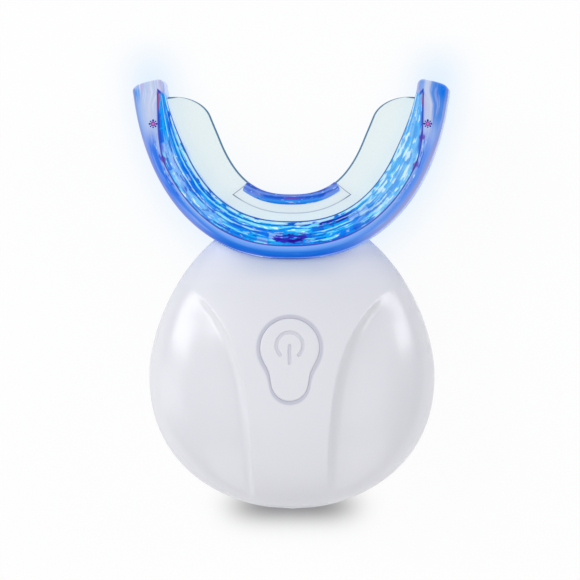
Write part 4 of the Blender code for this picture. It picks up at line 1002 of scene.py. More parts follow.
@dataclass(frozen=True)
class ClearBar(Finish):
    """Clear hard plastic, seen through, with faint flow lines from its mould."""

    alpha: float = 0.4

    def pattern(self, nodes: Nodes) -> Sockets:
        """Flow lines in the colour and how much is seen through it."""
        x, y, z = nodes.parts(nodes.here())
        flow = nodes.noise(nodes.vector(x, y * 0.4, z * 3.0), 1 / (2.5 * MM), 3.0, 0.6)
        colour = nodes.blend(nodes.smooth(flow, 0.45, 0.65) * 0.5, self.colour, srgb(208, 232, 255))
        return {"Base Color": colour, "Alpha": self.alpha + 0.3 * nodes.smooth(flow, 0.5, 0.7),
                "Normal": nodes.bump(flow, 0.2, 0.04)}


@dataclass(frozen=True)
class Printed(Finish):
    """Circuit board or flexible strip: tracks and pads below a coat of solder mask."""

    track: Colour = (0.1, 0.4, 0.2)
    pad: Colour = (0.75, 0.6, 0.3)
    cell: float = 1.3 * MM
    upright: bool = False

    def pattern(self, nodes: Nodes) -> Sockets:
        """Tracks along one direction with jogs, and rows of tinned pads."""
        x, y, z = nodes.parts(nodes.here())
        across, along = (z, x + y) if self.upright else (x, y)
        jog = nodes.math("FLOOR", along / (self.cell * 5)) * 0.37
        lane = across / self.cell + jog
        beside = nodes.math("FRACT", lane)
        drawn = nodes.draw(nodes.math("FLOOR", lane),
                           nodes.math("FLOOR", along / (self.cell * 2)), 0.0)
        track = nodes.line(beside, 0.5, 0.22) * nodes.smooth(drawn, 0.3, 0.32)
        off = nodes.vector(beside - 0.5, nodes.math("FRACT", along / self.cell) - 0.5, 0.0)
        radius = nodes.add("ShaderNodeVectorMath", {"operation": "LENGTH"}, {0: off}, "Value")
        pad = (1 - nodes.smooth(radius, 0.2, 0.26)) * nodes.smooth(drawn, 0.82, 0.84)
        colour = nodes.blend(pad, nodes.blend(track * 0.8, self.colour, self.track), self.pad)
        grain = nodes.noise(nodes.here(), 1 / (0.25 * MM))
        return {"Base Color": nodes.blend(grain * 0.12, colour, BLACK), "Metallic": pad * 0.9,
                "Roughness": self.roughness - 0.1 * pad,
                "Normal": nodes.bump(track + pad, 0.6, 0.03)}


@dataclass(frozen=True)
class FloorWhite(Finish):
    """White floor that keeps the object's shadow, with a painted shadow under the handle's end and
    a painted pale halo of the lights round the arch.
    """

    arch_power: float = 2.3
    arch_size: tuple[float, float] = (33.6 * MM, 46.6 * MM)
    arch_middle: float = 53.9 * MM
    halo: Colour = (0.74, 0.87, 1.0)
    halo_reach: float = 0.17
    shadow: Colour = (0.2, 0.2, 0.21)
    shadow_place: tuple[float, float] = (-0.2 * MM, -44.6 * MM)
    shadow_size: tuple[float, float] = (13.0 * MM, 3.6 * MM)
    seen_white: float = 0.94

    def make(self) -> bpy.types.Material:
        """Builds the material: a plain diffuse floor, mixed with white for the camera's rays.

        Returns:
            The material.
        """
        material, nodes, surface = blank_material(self.name)
        x, y, _ = nodes.parts(nodes.here())
        across = abs(x) / self.arch_size[0]
        up = abs(y - self.arch_middle) / self.arch_size[1]
        ring = (across ** self.arch_power + up ** self.arch_power) ** (1 / self.arch_power)
        # Painted pale-blue halo of the lights round the arch.
        glow = nodes.bell((ring - 0.9) / self.halo_reach) * (1 - nodes.rise(y, 44, 56))
        # Painted shadow under the handle's end; the diffuse share keeps the real shadow faintly.
        shade_x = abs(x - self.shadow_place[0]) / self.shadow_size[0]
        shade_y = (y - self.shadow_place[1]) / self.shadow_size[1]
        shade = nodes.math("EXPONENT", -(shade_x ** 4.0 + shade_y * shade_y))
        white = nodes.blend(shade * 0.9, nodes.blend(glow * 0.8, WHITE, self.halo), self.shadow)
        diffuse = nodes.add("ShaderNodeBsdfDiffuse", None, {"Color": self.colour, "Roughness": 0.9})
        bright = nodes.add("ShaderNodeEmission", None, {"Color": white, "Strength": 1.0})
        camera, glossy, through = (nodes.add("ShaderNodeLightPath", None, None, name) for name in (
            "Is Camera Ray", "Is Glossy Ray", "Is Transmission Ray"))
        seen = nodes.math("MAXIMUM", nodes.math("MAXIMUM", camera, glossy), through)
        nodes.put(surface, nodes.add("ShaderNodeMixShader", None, {
            0: seen * self.seen_white, 1: diffuse, 2: bright}))
        return material


# Handle


@dataclass(frozen=True)
class HandleForm:
    """Outline and sections of the egg-shaped handle, its valleys and the flat it rests on."""

    half_width: float = 29.8 * MM
    widest_y: float = -16.6 * MM
    widest_from_end: float = 28.3 * MM
    widest_to_apex: float = 34.2 * MM
    neck_from_widest: float = 26.6 * MM
    neck_half_height: float = 6.2 * MM
    lower_outline_power: float = 2.27
    upper_outline_power: float = 1.7
    lower_height_power: float = 2.6
    section_power: float = 2.3
    front_height: float = 13.195 * MM
    front_neck_power: float = 1.5
    front_rim: float = 13.8 * MM
    rear_bulge: float = 17.5 * MM
    rear_neck_power: float = 2.2
    rear_rim: float = 13.5 * MM
    rear_flat_round: float = 0.9 * MM
    panel_half_width: float = 7.4 * MM
    panel_flare: float = 12.1 * MM
    panel_flare_length: float = 10.5 * MM
    panel_flare_from_widest: float = 16.6 * MM
    valley_depth: float = 1.2 * MM
    valley_blend: float = 2.6 * MM
    valley_power: float = 2.4
    valley_return: float = 12.0 * MM
    valley_return_share: float = 0.6
    valley_top_fade: float = 6.5 * MM
    valley_top_from_widest: float = 18.6 * MM
    valley_crease: float = 0.5 * MM
    valley_fade_share: float = 0.35
    search_steps: int = 48

    def width_at(self, y: np.ndarray, inset: float = 0.0) -> np.ndarray:
        """Half width of the handle.

        Args:
            y: place along the handle.
            inset: how far inside the outer surface.

        Returns:
            Half widths, never below zero.
        """
        below = np.clip((self.widest_y - y) / (self.widest_from_end - inset), 0.0, 1.0)
        above = np.clip((y - self.widest_y) / (self.widest_to_apex - inset), 0.0, 1.0)
        share = np.where(y < self.widest_y, 1 - below ** self.lower_outline_power,
                         1 - above ** self.upper_outline_power)
        return (self.half_width - inset) * np.sqrt(np.clip(share, 0.0, 1.0))

    def rise_at(self, y: np.ndarray, most: float, power: float, inset: float = 0.0) -> np.ndarray:
        """Height of the ridge over the rim.

        Args:
            y: place along the handle.
            most: the greatest height.
            power: how the height falls off towards the neck.
            inset: how far inside the outer surface.

        Returns:
            Heights.
        """
        below = np.clip((self.widest_y - y) / (self.widest_from_end - inset), 0.0, 1.0)
        share = np.clip((y - self.widest_y) / self.neck_from_widest, 0.0, 1.0)
        low = (most - inset) * np.sqrt(np.clip(1 - below ** self.lower_height_power, 0.0, 1.0))
        high = most - inset - (most - self.neck_half_height) * smoothstep(share ** power)
        return np.where(y < self.widest_y, low, high)

    def section(self, x: np.ndarray, y: np.ndarray, inset: float = 0.0) -> np.ndarray:
        """Share of the ridge's height at a place across the handle."""
        across = np.clip(np.abs(x) / np.maximum(self.width_at(y, inset), 1e-9), 0.0, 1.0)
        return (1 - across ** self.section_power) ** (1 / self.section_power)

    def panel_edge(self, y: np.ndarray) -> np.ndarray:
        """Half width of the raised panel."""
        start = self.widest_y + self.panel_flare_from_widest
        grown = np.exp((y - start) / self.panel_flare_length)
        return self.panel_half_width + self.panel_flare * grown

    def valley_at(self, x: np.ndarray, y: np.ndarray) -> np.ndarray:
        """Depth of the two valleys beside the panel.

        Args:
            x: places across.
            y: places along.

        Returns:
            Depths.
        """
        past = np.abs(x) - self.panel_edge(y)
        share = np.clip(past / self.valley_blend, 0.0, 1.0)
        crease = smoothstep(past / self.valley_crease)
        down = (1 - (1 - share) ** self.valley_power) * crease + smoothstep(share) * (1 - crease)
        back = 1 - self.valley_return_share * smoothstep(
            (past - self.valley_blend) / self.valley_return)
        side = smoothstep((self.width_at(y) - np.abs(x)) / self.valley_return)
        top = smoothstep((self.widest_y + self.valley_top_from_widest - y) / self.valley_top_fade)
        return self.valley_depth * down * back * side * top

    def front(self, x: np.ndarray, y: np.ndarray, inset: float = 0.0) -> np.ndarray:
        """Height of the front surface.

        Args:
            x: places across.
            y: places along.
            inset: how far inside the outer surface.

        Returns:
            Heights.
        """
        lift = self.section(x, y, inset) * self.rise_at(
            y, self.front_height, self.front_neck_power, inset)
        room = smoothstep(lift / (self.front_height * self.valley_fade_share))
        return self.front_rim + np.maximum(lift - self.valley_at(x, y) * room, 0.0)

    def rear(self, x: np.ndarray, y: np.ndarray, inset: float = 0.0) -> np.ndarray:
        """Height of the rear surface, with its flat.

        Args:
            x: places across.
            y: places along.
            inset: how far inside the outer surface.

        Returns:
            Heights.
        """
        drop = self.section(x, y, inset) * self.rise_at(
            y, self.rear_bulge, self.rear_neck_power, inset)
        over = self.rear_rim - drop - inset
        bent = (over + np.sqrt(over ** 2 + self.rear_flat_round ** 2)) / 2
        return np.minimum(inset + bent, self.rear_rim)

    def radius_at(self, turn: np.ndarray, centre_y: float, inset: float = 0.0) -> np.ndarray:
        """Distance from a centre on the axis to the egg's outline.

        Args:
            turn: directions.
            centre_y: place of the centre.
            inset: how far inside the outline.

        Returns:
            Distances.
        """
        low = np.zeros_like(turn)
        high = np.full_like(turn, 2 * self.widest_to_apex)
        for _ in range(self.search_steps):
            middle = (low + high) / 2
            x = middle * np.cos(turn)
            y = centre_y + middle * np.sin(turn)
            inside = (np.abs(x) <= self.width_at(y, inset)) & (
                y > self.widest_y - self.widest_from_end + inset) & (
                y < self.widest_y + self.widest_to_apex - inset)
            low = np.where(inside, middle, low)
            high = np.where(inside, high, middle)
        return low


@dataclass(frozen=True)
class ArchLine:
    """Line of the mouthpiece: its outer face, seen from the front."""

    half_width: float = 33.6 * MM
    depth: float = 46.6 * MM
    front_y: float = 7.3 * MM
    power: float = 2.3
    level: float = 13.5 * MM
    tip_run: float = 55.54 * MM
    front_run: float = 26.0 * MM

    def table(self) -> np.ndarray:
        """Distance along, x, y and inward direction at close steps over the whole arch.

        Returns:
            One row of five numbers for each step.
        """
        turn = np.linspace(-QUARTER, QUARTER, 6001)
        x = self.half_width * np.sign(np.sin(turn)) * np.abs(np.sin(turn)) ** (2 / self.power)
        y = self.front_y + self.depth * (1 - np.abs(np.cos(turn)) ** (2 / self.power))
        length = np.concatenate(([0.0], np.cumsum(np.hypot(np.diff(x), np.diff(y)))))
        length -= np.interp(0.0, x, length)
        even = np.linspace(length[0], length[-1], 3001)
        x, y = np.interp(even, length, x), np.interp(even, length, y)
        ahead_x, ahead_y = np.gradient(x, even), np.gradient(y, even)
        size = np.hypot(ahead_x, ahead_y)
        return np.stack([even, x, y, -ahead_y / size, ahead_x / size], axis=1)

    def at(self, run: np.ndarray) -> list[np.ndarray]:
        """The x, y and inward direction at distances along the arch."""
        table = self.table()
        return [np.interp(run, table[:, 0], table[:, column]) for column in range(1, 5)]

    def place(self, run: np.ndarray, inward: np.ndarray) -> tuple[np.ndarray, np.ndarray]:
        """The x and y of points, by their distance along the arch and in from its outer face."""
        x, y, inward_x, inward_y = self.at(run)
        return x + inward_x * inward, y + inward_y * inward

    def heading(self, run: float) -> float:
        """Direction in which the arch runs on, as an angle about the upright axis."""
        _, _, inward_x, inward_y = self.at(run)
        return math.atan2(-float(inward_x), float(inward_y))

    def radius_to(self, turn: np.ndarray, centre_y: float, gap: float) -> np.ndarray:
        """Distance from a centre on the axis to the arch, less a gap.

        Args:
            turn: directions.
            centre_y: place of the centre.
            gap: distance kept from the arch.

        Returns:
            Distances, very large where a ray misses the arch.
        """
        table = self.table()
        table = table[np.abs(table[:, 0]) < self.front_run]
        x = table[:, 1] - table[:, 3] * gap
        y = table[:, 2] - table[:, 4] * gap - centre_y
        angle = np.arctan2(y, x)
        order = np.argsort(angle)
        return np.interp(turn, angle[order], np.hypot(x, y)[order], left=1.0, right=1.0)


@dataclass(frozen=True)
class Keyhole:
    """Outline of the opening for the power button: two arcs joined by waisted sides."""

    centre_y: float = -11.3 * MM
    toe_y: float = -18.5 * MM
    head_radius: float = 6.5 * MM
    toe_radius: float = 4.2 * MM
    waist: float = 0.4 * MM

    def radius_at(self, turn: np.ndarray, grow: float = 0.0) -> np.ndarray:
        """Distance from the head's centre to the outline.

        Args:
            turn: directions.
            grow: how far outside the opening in the shell.

        Returns:
            Distances.
        """
        head, toe = self.head_radius + grow, self.toe_radius + grow
        reach = self.centre_y - self.toe_y
        lean = math.asin((head - toe) / reach)
        points = [(head * math.cos(bend), head * math.sin(bend))
                  for bend in np.linspace(QUARTER, -lean, 160)]
        start = (head * math.cos(lean), -head * math.sin(lean))
        end = (toe * math.cos(lean), -reach - toe * math.sin(lean))
        for share in np.linspace(0.0, 1.0, 121)[1:-1]:
            bow = self.waist * math.sin(math.pi * share) ** 2
            points.append((start[0] + (end[0] - start[0]) * share - bow * math.cos(lean),
                           start[1] + (end[1] - start[1]) * share + bow * math.sin(lean)))
        points += [(toe * math.cos(bend), -reach + toe * math.sin(bend))
                   for bend in np.linspace(-lean, -QUARTER, 100)]
        places = np.array(points)
        angle = np.arctan2(places[:, 1], places[:, 0])
        order = np.argsort(angle)
        folded = np.arcsin(np.clip(np.sin(turn), -1.0, 1.0))
        return np.interp(folded, angle[order], np.hypot(places[:, 0], places[:, 1])[order])

    def ring(self, turn: np.ndarray, radius: np.ndarray, height: Surface) -> np.ndarray:
        """One ring of points on a surface, round the head's centre.

        Args:
            turn: directions.
            radius: distances from the head's centre.
            height: function of x and y that gives z.

        Returns:
            The points.
        """
        x = radius * np.cos(turn)
        y = self.centre_y + radius * np.sin(turn)
        return np.stack([x, y, height(x, y)], axis=1)

    def beyond(self, mesh: bpy.types.Mesh, grow: float) -> tuple[np.ndarray, np.ndarray]:
        """A mesh's points, and how far each lies outside the outline."""
        places = np.array([vertex.co for vertex in mesh.vertices])
        up = places[:, 1] - self.centre_y
        edge = self.radius_at(np.arctan2(up, places[:, 0]), grow)
        return places, np.hypot(places[:, 0], up) - edge


def rounded_box(name: str, size: tuple[float, float, float], start: float, end: float,
                level: float, material: bpy.types.Material) -> bpy.types.Object:
    """A rounded rectangle drawn out along the handle.

    Args:
        name: the piece's name.
        size: its size across, its size up and its corner radius.
        start: where it starts, along the handle.
        end: where it ends.
        level: height of its middle.
        material: its finish.

    Returns:
        The closed mesh object.
    """
    width, height, corner = size
    outline = []
    for turn in round_turns(48) + math.pi / 48:
        across, up = math.cos(turn), math.sin(turn)
        outline.append((math.copysign(width / 2 - corner, across) + corner * across,
                        level + math.copysign(height / 2 - corner, up) + corner * up))
    rows = np.array([[(x, y, z) for x, z in outline] for y in (start, end)])
    return lattice(name, rows, material, caps=True)


def lathe(name: str, profile: Sequence[tuple[float, float]], sides: int,
          material: bpy.types.Material, x: float = 0.0, y: float = 0.0) -> bpy.types.Object:
    """A round piece about an upright axis.

    Args:
        name: its name.
        profile: radius and height pairs, from its lowest ring to its highest.
        sides: points on each ring.
        material: its finish.
        x: place of its axis across the handle.
        y: place of its axis along the handle.

    Returns:
        The closed mesh object.
    """
    rows = np.array([[(x + radius * math.cos(turn), y + radius * math.sin(turn), z)
                      for turn in round_turns(sides)] for radius, z in profile])
    return lattice(name, rows, material, caps=True)


@dataclass
class Handle:
    """The two shells of the handle, with the openings in them."""

    finish: HandleWhite
    form: HandleForm = HandleForm()
    arch: ArchLine = ArchLine()
    keyhole: Keyhole = Keyhole()
    columns: int = 400
    outer_rows: int = 150
    inner_rows: int = 22
    round_rows: int = 8
    wall: float = 2.2 * MM
    seat_gap: float = 0.06 * MM
    opening_grow: float = -0.3 * MM
    lip: float = 0.2 * MM
    opening_round: float = 0.7 * MM
    opening_depth: float = 0.16 * MM
    groove_width: float = 1.0 * MM
    neck_round: float = 0.2 * MM
    neck_blend: float = 0.06
    neck_wall_y: float = 4.8 * MM
    screw_x: float = 19.3 * MM
    screw_rows: tuple[float, float] = (-5.1 * MM, -31.0 * MM)
    boss_radius: float = 3.1 * MM
    boss_start: float = 1.2 * MM
    boss_roof: float = 1.6 * MM
    counterbore_radius: float = 2.2 * MM
    counterbore_top: float = 8.8 * MM
    port: tuple[float, float, float] = (11.0 * MM, 5.0 * MM, 2.2 * MM)
    port_level: float = 13.8 * MM
    port_depth: float = 6.0 * MM
    neck_opening: tuple[float, float, float] = (14.4 * MM, 7.4 * MM, 1.8 * MM)

    def turns(self) -> np.ndarray:
        """Directions round the button's centre, with one on each corner of the neck.

        Returns:
            The directions, in order.
        """
        even = round_turns(self.columns) - math.pi
        corner = self.corner_turn()
        for target in (corner, math.pi - corner):
            even[np.argmin(np.abs(even - target))] = target
        return np.sort(even)

    def edges(self, turn: np.ndarray) -> tuple[np.ndarray, np.ndarray]:
        """Distance to the egg's outline, and to the cut of the arch, in each direction."""
        return (self.form.radius_at(turn, self.keyhole.centre_y),
                self.arch.radius_to(turn, self.keyhole.centre_y, self.seat_gap))

    def corner_turn(self) -> float:
        """Direction in which the egg's outline meets the arch."""
        fine = np.linspace(0.0, QUARTER, 4001)
        egg, cut = self.edges(fine)
        return float(fine[np.argmax(cut < egg)])

    def inner_outline(self, turn: np.ndarray) -> np.ndarray:
        """Distance to the inside of the wall in each direction.

        Args:
            turn: directions.

        Returns:
            Distances.
        """
        egg = self.form.radius_at(turn, self.keyhole.centre_y, self.wall)
        climb = np.sin(turn)
        to_neck = np.where(climb > 0.05, (self.neck_wall_y - self.keyhole.centre_y)
                           / np.maximum(climb, 0.05), 1.0)
        return np.minimum(egg, to_neck)

    def neck_share(self, turn: np.ndarray) -> np.ndarray:
        """1 where the outline is the cut of the arch, 0 elsewhere, with a short blend."""
        off = np.abs(turn - QUARTER)
        return smoothstep((QUARTER - self.corner_turn() - off) / self.neck_blend)

    def skin(self, height: Surface, rim: float, first: np.ndarray, up: float) -> Rings:
        """Rings of an outer surface, from a first radius to the rim.

        Args:
            height: the surface's function.
            rim: height of the rim.
            first: radius of the first ring in each direction.
            up: 1 for the front, -1 for the rear.

        Returns:
            The rings.
        """
        turn = self.turns()
        last = np.minimum(*self.edges(turn))
        neck = self.neck_share(turn)
        rings = []
        for share in np.sin(np.linspace(0.0, QUARTER, self.outer_rows)):
            radius = np.minimum(first + (last - first) * share, last - self.neck_round * neck)
            rings.append(self.keyhole.ring(turn, radius, height))
        for left in (0.9, 0.7, 0.45, 0.2, 0.0):
            points = self.keyhole.ring(turn, last - self.neck_round * left * neck, height)
            bend = self.neck_round * (1 - math.sqrt(1 - (1 - left) ** 2))
            points[:, 2] -= up * np.minimum(bend, np.abs(points[:, 2] - rim)) * neck
            rings.append(points)
        below, level, ending = (self.keyhole.ring(turn, radius, height) for radius in (
            last, last, last - self.lip * (1 - neck)))
        below[:, 2] -= up * np.minimum(self.neck_round * 1.6, np.abs(below[:, 2] - rim)) * neck
        level[:, 2] = rim + up * np.minimum(np.abs(level[:, 2] - rim), self.lip)
        ending[:, 2] = rim
        return rings + [below, level, ending]

    def inside(self, surface: Callable, rim: float, first: np.ndarray, up: float) -> Rings:
        """Rings of an inner surface, from the rim back to a first radius.

        Args:
            surface: function of x, y and inset that gives the surface's height.
            rim: height of the rim.
            first: radius of the last ring in each direction.
            up: 1 for the front, -1 for the rear.

        Returns:
            The rings.
        """
        turn = self.turns()
        last = self.inner_outline(turn)
        shares = np.sin(np.linspace(QUARTER, 0.0, self.inner_rows))
        rings = [self.keyhole.ring(turn, last, lambda x, y: np.full_like(x, rim))]
        for share in shares:
            points = self.keyhole.ring(turn, first + (last - first) * share,
                                       lambda x, y: surface(x, y, self.wall))
            points[:, 2] = rim + up * np.maximum(up * (points[:, 2] - rim), 0.0)
            rings.append(points)
        return rings

    def front(self, material: bpy.types.Material) -> None:
        """Builds the front shell.

        Args:
            material: its finish.
        """
        turn = self.turns()
        opening = self.keyhole.radius_at(turn, self.opening_grow)
        edge = self.opening_round
        rings = []
        for bend in np.linspace(0.0, QUARTER, self.round_rows + 1)[:-1]:
            points = self.keyhole.ring(turn, opening + edge * (1 - math.cos(bend)), self.form.front)
            points[:, 2] -= self.opening_depth * (1 - math.sin(bend))
            rings.append(points)
        rings += self.skin(self.form.front, self.form.front_rim, opening + edge, 1.0)
        rings += self.inside(self.form.front, self.form.front_rim, opening, 1.0)
        shell = lattice("front_cover", np.array(rings), material, round_columns=True)
        self.open_up(shell, material)
        # Marks for the finish: no engraving, painted shade in the groove round the button, and the
        # raised panel.
        places, off = self.keyhole.beyond(shell.data, self.opening_grow)
        groove = 1 - smoothstep(2.0 * off / self.groove_width - 1.0)
        panel = smoothstep(0.5 + (self.form.panel_edge(places[:, 1]) - np.abs(places[:, 0])) / MM)
        keep_vector(shell.data, "marks", np.stack([np.zeros_like(off), groove, panel], axis=1))
        install(shell, Body.HANDLE, Slot.GLOSS_WHITE, "front_shell")

    def open_up(self, shell: bpy.types.Object, material: bpy.types.Material) -> None:
        """Cuts the charging opening and the neck opening.

        Args:
            shell: the shell.
            material: its finish.
        """
        end = self.form.widest_y - self.form.widest_from_end
        for name, size, start, stop, level in (
                ("port_tool", self.port, end - MM, end + self.port_depth, self.port_level),
                ("neck_tool", self.neck_opening, self.neck_wall_y - MM, self.arch.front_y + MM,
                 self.form.rear_rim)):
            combine(shell, rounded_box(name, size, start, stop, level, material), "DIFFERENCE")

    def rear(self, material: bpy.types.Material) -> None:
        """Builds the rear shell, with its screw bosses.

        Args:
            material: its finish.
        """
        middle = np.zeros(self.columns)
        rings = self.skin(self.form.rear, self.form.rear_rim, middle, -1.0)
        rings += self.inside(self.form.rear, self.form.rear_rim, middle, -1.0)
        shell = lattice("rear_cover", np.array(rings), material)
        top = self.counterbore_top
        for y in self.screw_rows:
            for x in (-self.screw_x, self.screw_x):
                for radius, low, high, operation in (
                        (self.boss_radius, self.boss_start, top + self.boss_roof, "UNION"),
                        (self.counterbore_radius, -MM, top, "DIFFERENCE")):
                    tool = lathe("tool", [(radius, low), (radius, high)], 48, material, x, y)
                    combine(shell, tool, operation)
        self.open_up(shell, material)
        install(shell, Body.HANDLE, Slot.GLOSS_WHITE, "rear_shell")

    def build(self) -> None:
        """Builds and dresses both shells."""
        material = self.finish.make()
        self.front(material)
        self.rear(material)


@dataclass
class PowerButton:
    """Keyhole-shaped cap with an engraved power symbol."""

    finish: HandleWhite
    form: HandleForm = HandleForm()
    keyhole: Keyhole = Keyhole()
    columns: int = 300
    rows: int = 130
    round_rows: int = 9
    grow: float = -0.33 * MM
    edge_round: float = 0.7 * MM
    edge_depth: float = 0.16 * MM
    wall: float = 2.2 * MM
    seat_gap: float = 0.3 * MM
    flange: float = 0.8 * MM
    flange_thickness: float = 1.0 * MM
    symbol_radius: float = 3.1 * MM
    symbol_stroke: float = 0.7 * MM
    symbol_depth: float = 0.22 * MM
    symbol_bar: float = 4.0 * MM
    symbol_opening: float = 0.25
    symbol_over_head: float = 0.5 * MM
    symbol_soft: float = 0.2 * MM
    groove_width: float = 0.3 * MM
    groove_share: float = 0.4

    def engraving(self, x: np.ndarray, y: np.ndarray) -> np.ndarray:
        """Depth of the power symbol at places on the cap.

        Args:
            x: places across.
            y: places along.

        Returns:
            Depths.
        """
        half = self.symbol_stroke / 2
        middle = self.symbol_radius - half
        up = y - self.keyhole.centre_y - self.symbol_over_head
        opening = math.pi * self.symbol_opening
        to_end = np.hypot(np.abs(x) - math.sin(opening) * middle,
                          up + math.cos(opening) * middle) - half
        ring = np.where(np.abs(np.arctan2(x, -up)) < opening, to_end,
                        np.abs(np.hypot(x, up) - middle) - half)
        bar = np.hypot(x, up - np.clip(up, half - self.symbol_bar, 0.0)) - half
        return self.symbol_depth * smoothstep(0.5 - np.minimum(ring, bar) / self.symbol_soft)

    def ring(self, turn: np.ndarray, radius: np.ndarray, depth: float) -> np.ndarray:
        """One ring of the cap, at a depth below its face."""
        return self.keyhole.ring(
            turn, radius, lambda x, y: self.form.front(x, y) - self.engraving(x, y) - depth)

    def build(self) -> None:
        """Builds and dresses the cap."""
        turn = round_turns(self.columns)
        side = self.keyhole.radius_at(turn, self.grow)
        under = self.wall + self.seat_gap
        foot = under + self.flange_thickness
        rings = [self.ring(turn, (side - self.edge_round) * share, 0.0)
                 for share in np.linspace(0.0, 1.0, self.rows)]
        for bend in np.linspace(0.0, QUARTER, self.round_rows + 1)[1:]:
            radius = side - self.edge_round * (1 - math.sin(bend))
            rings.append(self.ring(turn, radius, self.edge_depth * (1 - math.cos(bend))))
        for radius, depth in ((side, under), (side + self.flange, under),
                              (side + self.flange, foot), (np.zeros_like(turn), foot)):
            rings.append(self.ring(turn, radius, depth))
        cap = lattice("power_cap", np.array(rings), self.finish.make())
        # Marks for the finish: painted shade in the engraved symbol and along the cap's edge in the
        # groove, and the panel over the whole cap.
        places, off = self.keyhole.beyond(cap.data, self.grow)
        sunk = self.engraving(places[:, 0], places[:, 1]) / self.symbol_depth
        groove = self.groove_share * (1 - smoothstep(-off / self.groove_width))
        keep_vector(cap.data, "marks", np.stack([sunk, groove, np.ones_like(sunk)], axis=1))
        install(cap, Body.BUTTON, Slot.BUTTON_WHITE, "power_button")


# Mouthpiece


class ArchSweep(GeometryNodes):
    """Draws a rounded wall along the arch, tapering and closing round its tips."""

    first_turn: float = 0.05
    slant_reach: float = 2.4

    def __init__(self) -> None:
        """Builds the tree: a unit circle is swept along the line, then each point is placed."""
        super().__init__("arch_sweep")
        (inset, wall, tip_wall, height, edge, tip_corner, taper_from, growth, grow_run,
         slant) = (self.named(name) for name in (
             "Inset", "Wall", "Tip Wall", "Height", "Edge Radius", "Tip Corner", "Taper From",
             "Inset Growth", "Growth Run", "Tip Slant"))
        sides = self.named("Sides", "Int")
        material = self.named("Material", "Material")
        place = self.add("GeometryNodeInputPosition")
        tangent = self.add("GeometryNodeInputTangent")
        inward = self.add("ShaderNodeVectorMath", {"operation": "CROSS_PRODUCT"},
                          {0: (0.0, 0.0, 1.0), 1: tangent})
        half = self.add("GeometryNodeSplineLength", None, None, "Length") / 2.0
        run = self.add("GeometryNodeSplineParameter", None, None, "Length") - half
        path, place, tangent, inward, run, half = self.capture(
            self.base(), ("VECTOR", "VECTOR", "VECTOR", "FLOAT", "FLOAT"),
            (place, tangent, inward, run, half))
        circle = self.add("GeometryNodeCurvePrimitiveCircle", {"mode": "RADIUS"},
                          {"Resolution": sides, "Radius": 1.0})
        turn = self.add("GeometryNodeSplineParameter", None, None, "Factor") * TURN
        circle, turn = self.capture(circle, ("FLOAT",), (turn,))
        skin = self.add("GeometryNodeCurveToMesh", None,
                        {"Curve": path, "Profile Curve": circle, "Fill Caps": True})
        along = abs(run)
        into = self.math("MAXIMUM", 1 - (half - along) / tip_corner, 0.0)
        drawn = tip_corner * (1 - self.math("SQRT", self.math("MAXIMUM", 1 - into * into, 0.0)))
        thick = wall + (tip_wall - wall) * self.smooth(along, taper_from, half)
        width, tall = thick - 2 * drawn, height - 2 * drawn
        corner = self.math("MINIMUM", edge, width * 0.49)
        turn = turn + self.first_turn
        side, level = (self.math("SIGN", share) * (size / 2.0 - corner) + share * corner
                       for share, size in ((self.math("COSINE", turn), width),
                                           (self.math("SINE", turn), tall)))
        depth = thick / 2.0 + side + inset + growth * self.smooth(along, 0.0, grow_run)
        lift = self.scaled(self.vector(0.0, 0.0, 1.0), level)
        ending = self.smooth(along, half - self.slant_reach * tip_corner, half)
        back = self.math("SIGN", run) * slant * (depth / thick - 1.0) * ending
        moved = self.add("GeometryNodeSetPosition", None, {
            "Geometry": skin, "Position": self.summed(
                place, self.scaled(inward, depth), lift, self.scaled(tangent, back))})
        self.close(self.add("GeometryNodeStoreNamedAttribute",
                            {"data_type": "FLOAT_VECTOR", "domain": "POINT"}, {
                                "Geometry": moved, "Name": "arch",
                                "Value": self.vector(run, depth, level)}), material)


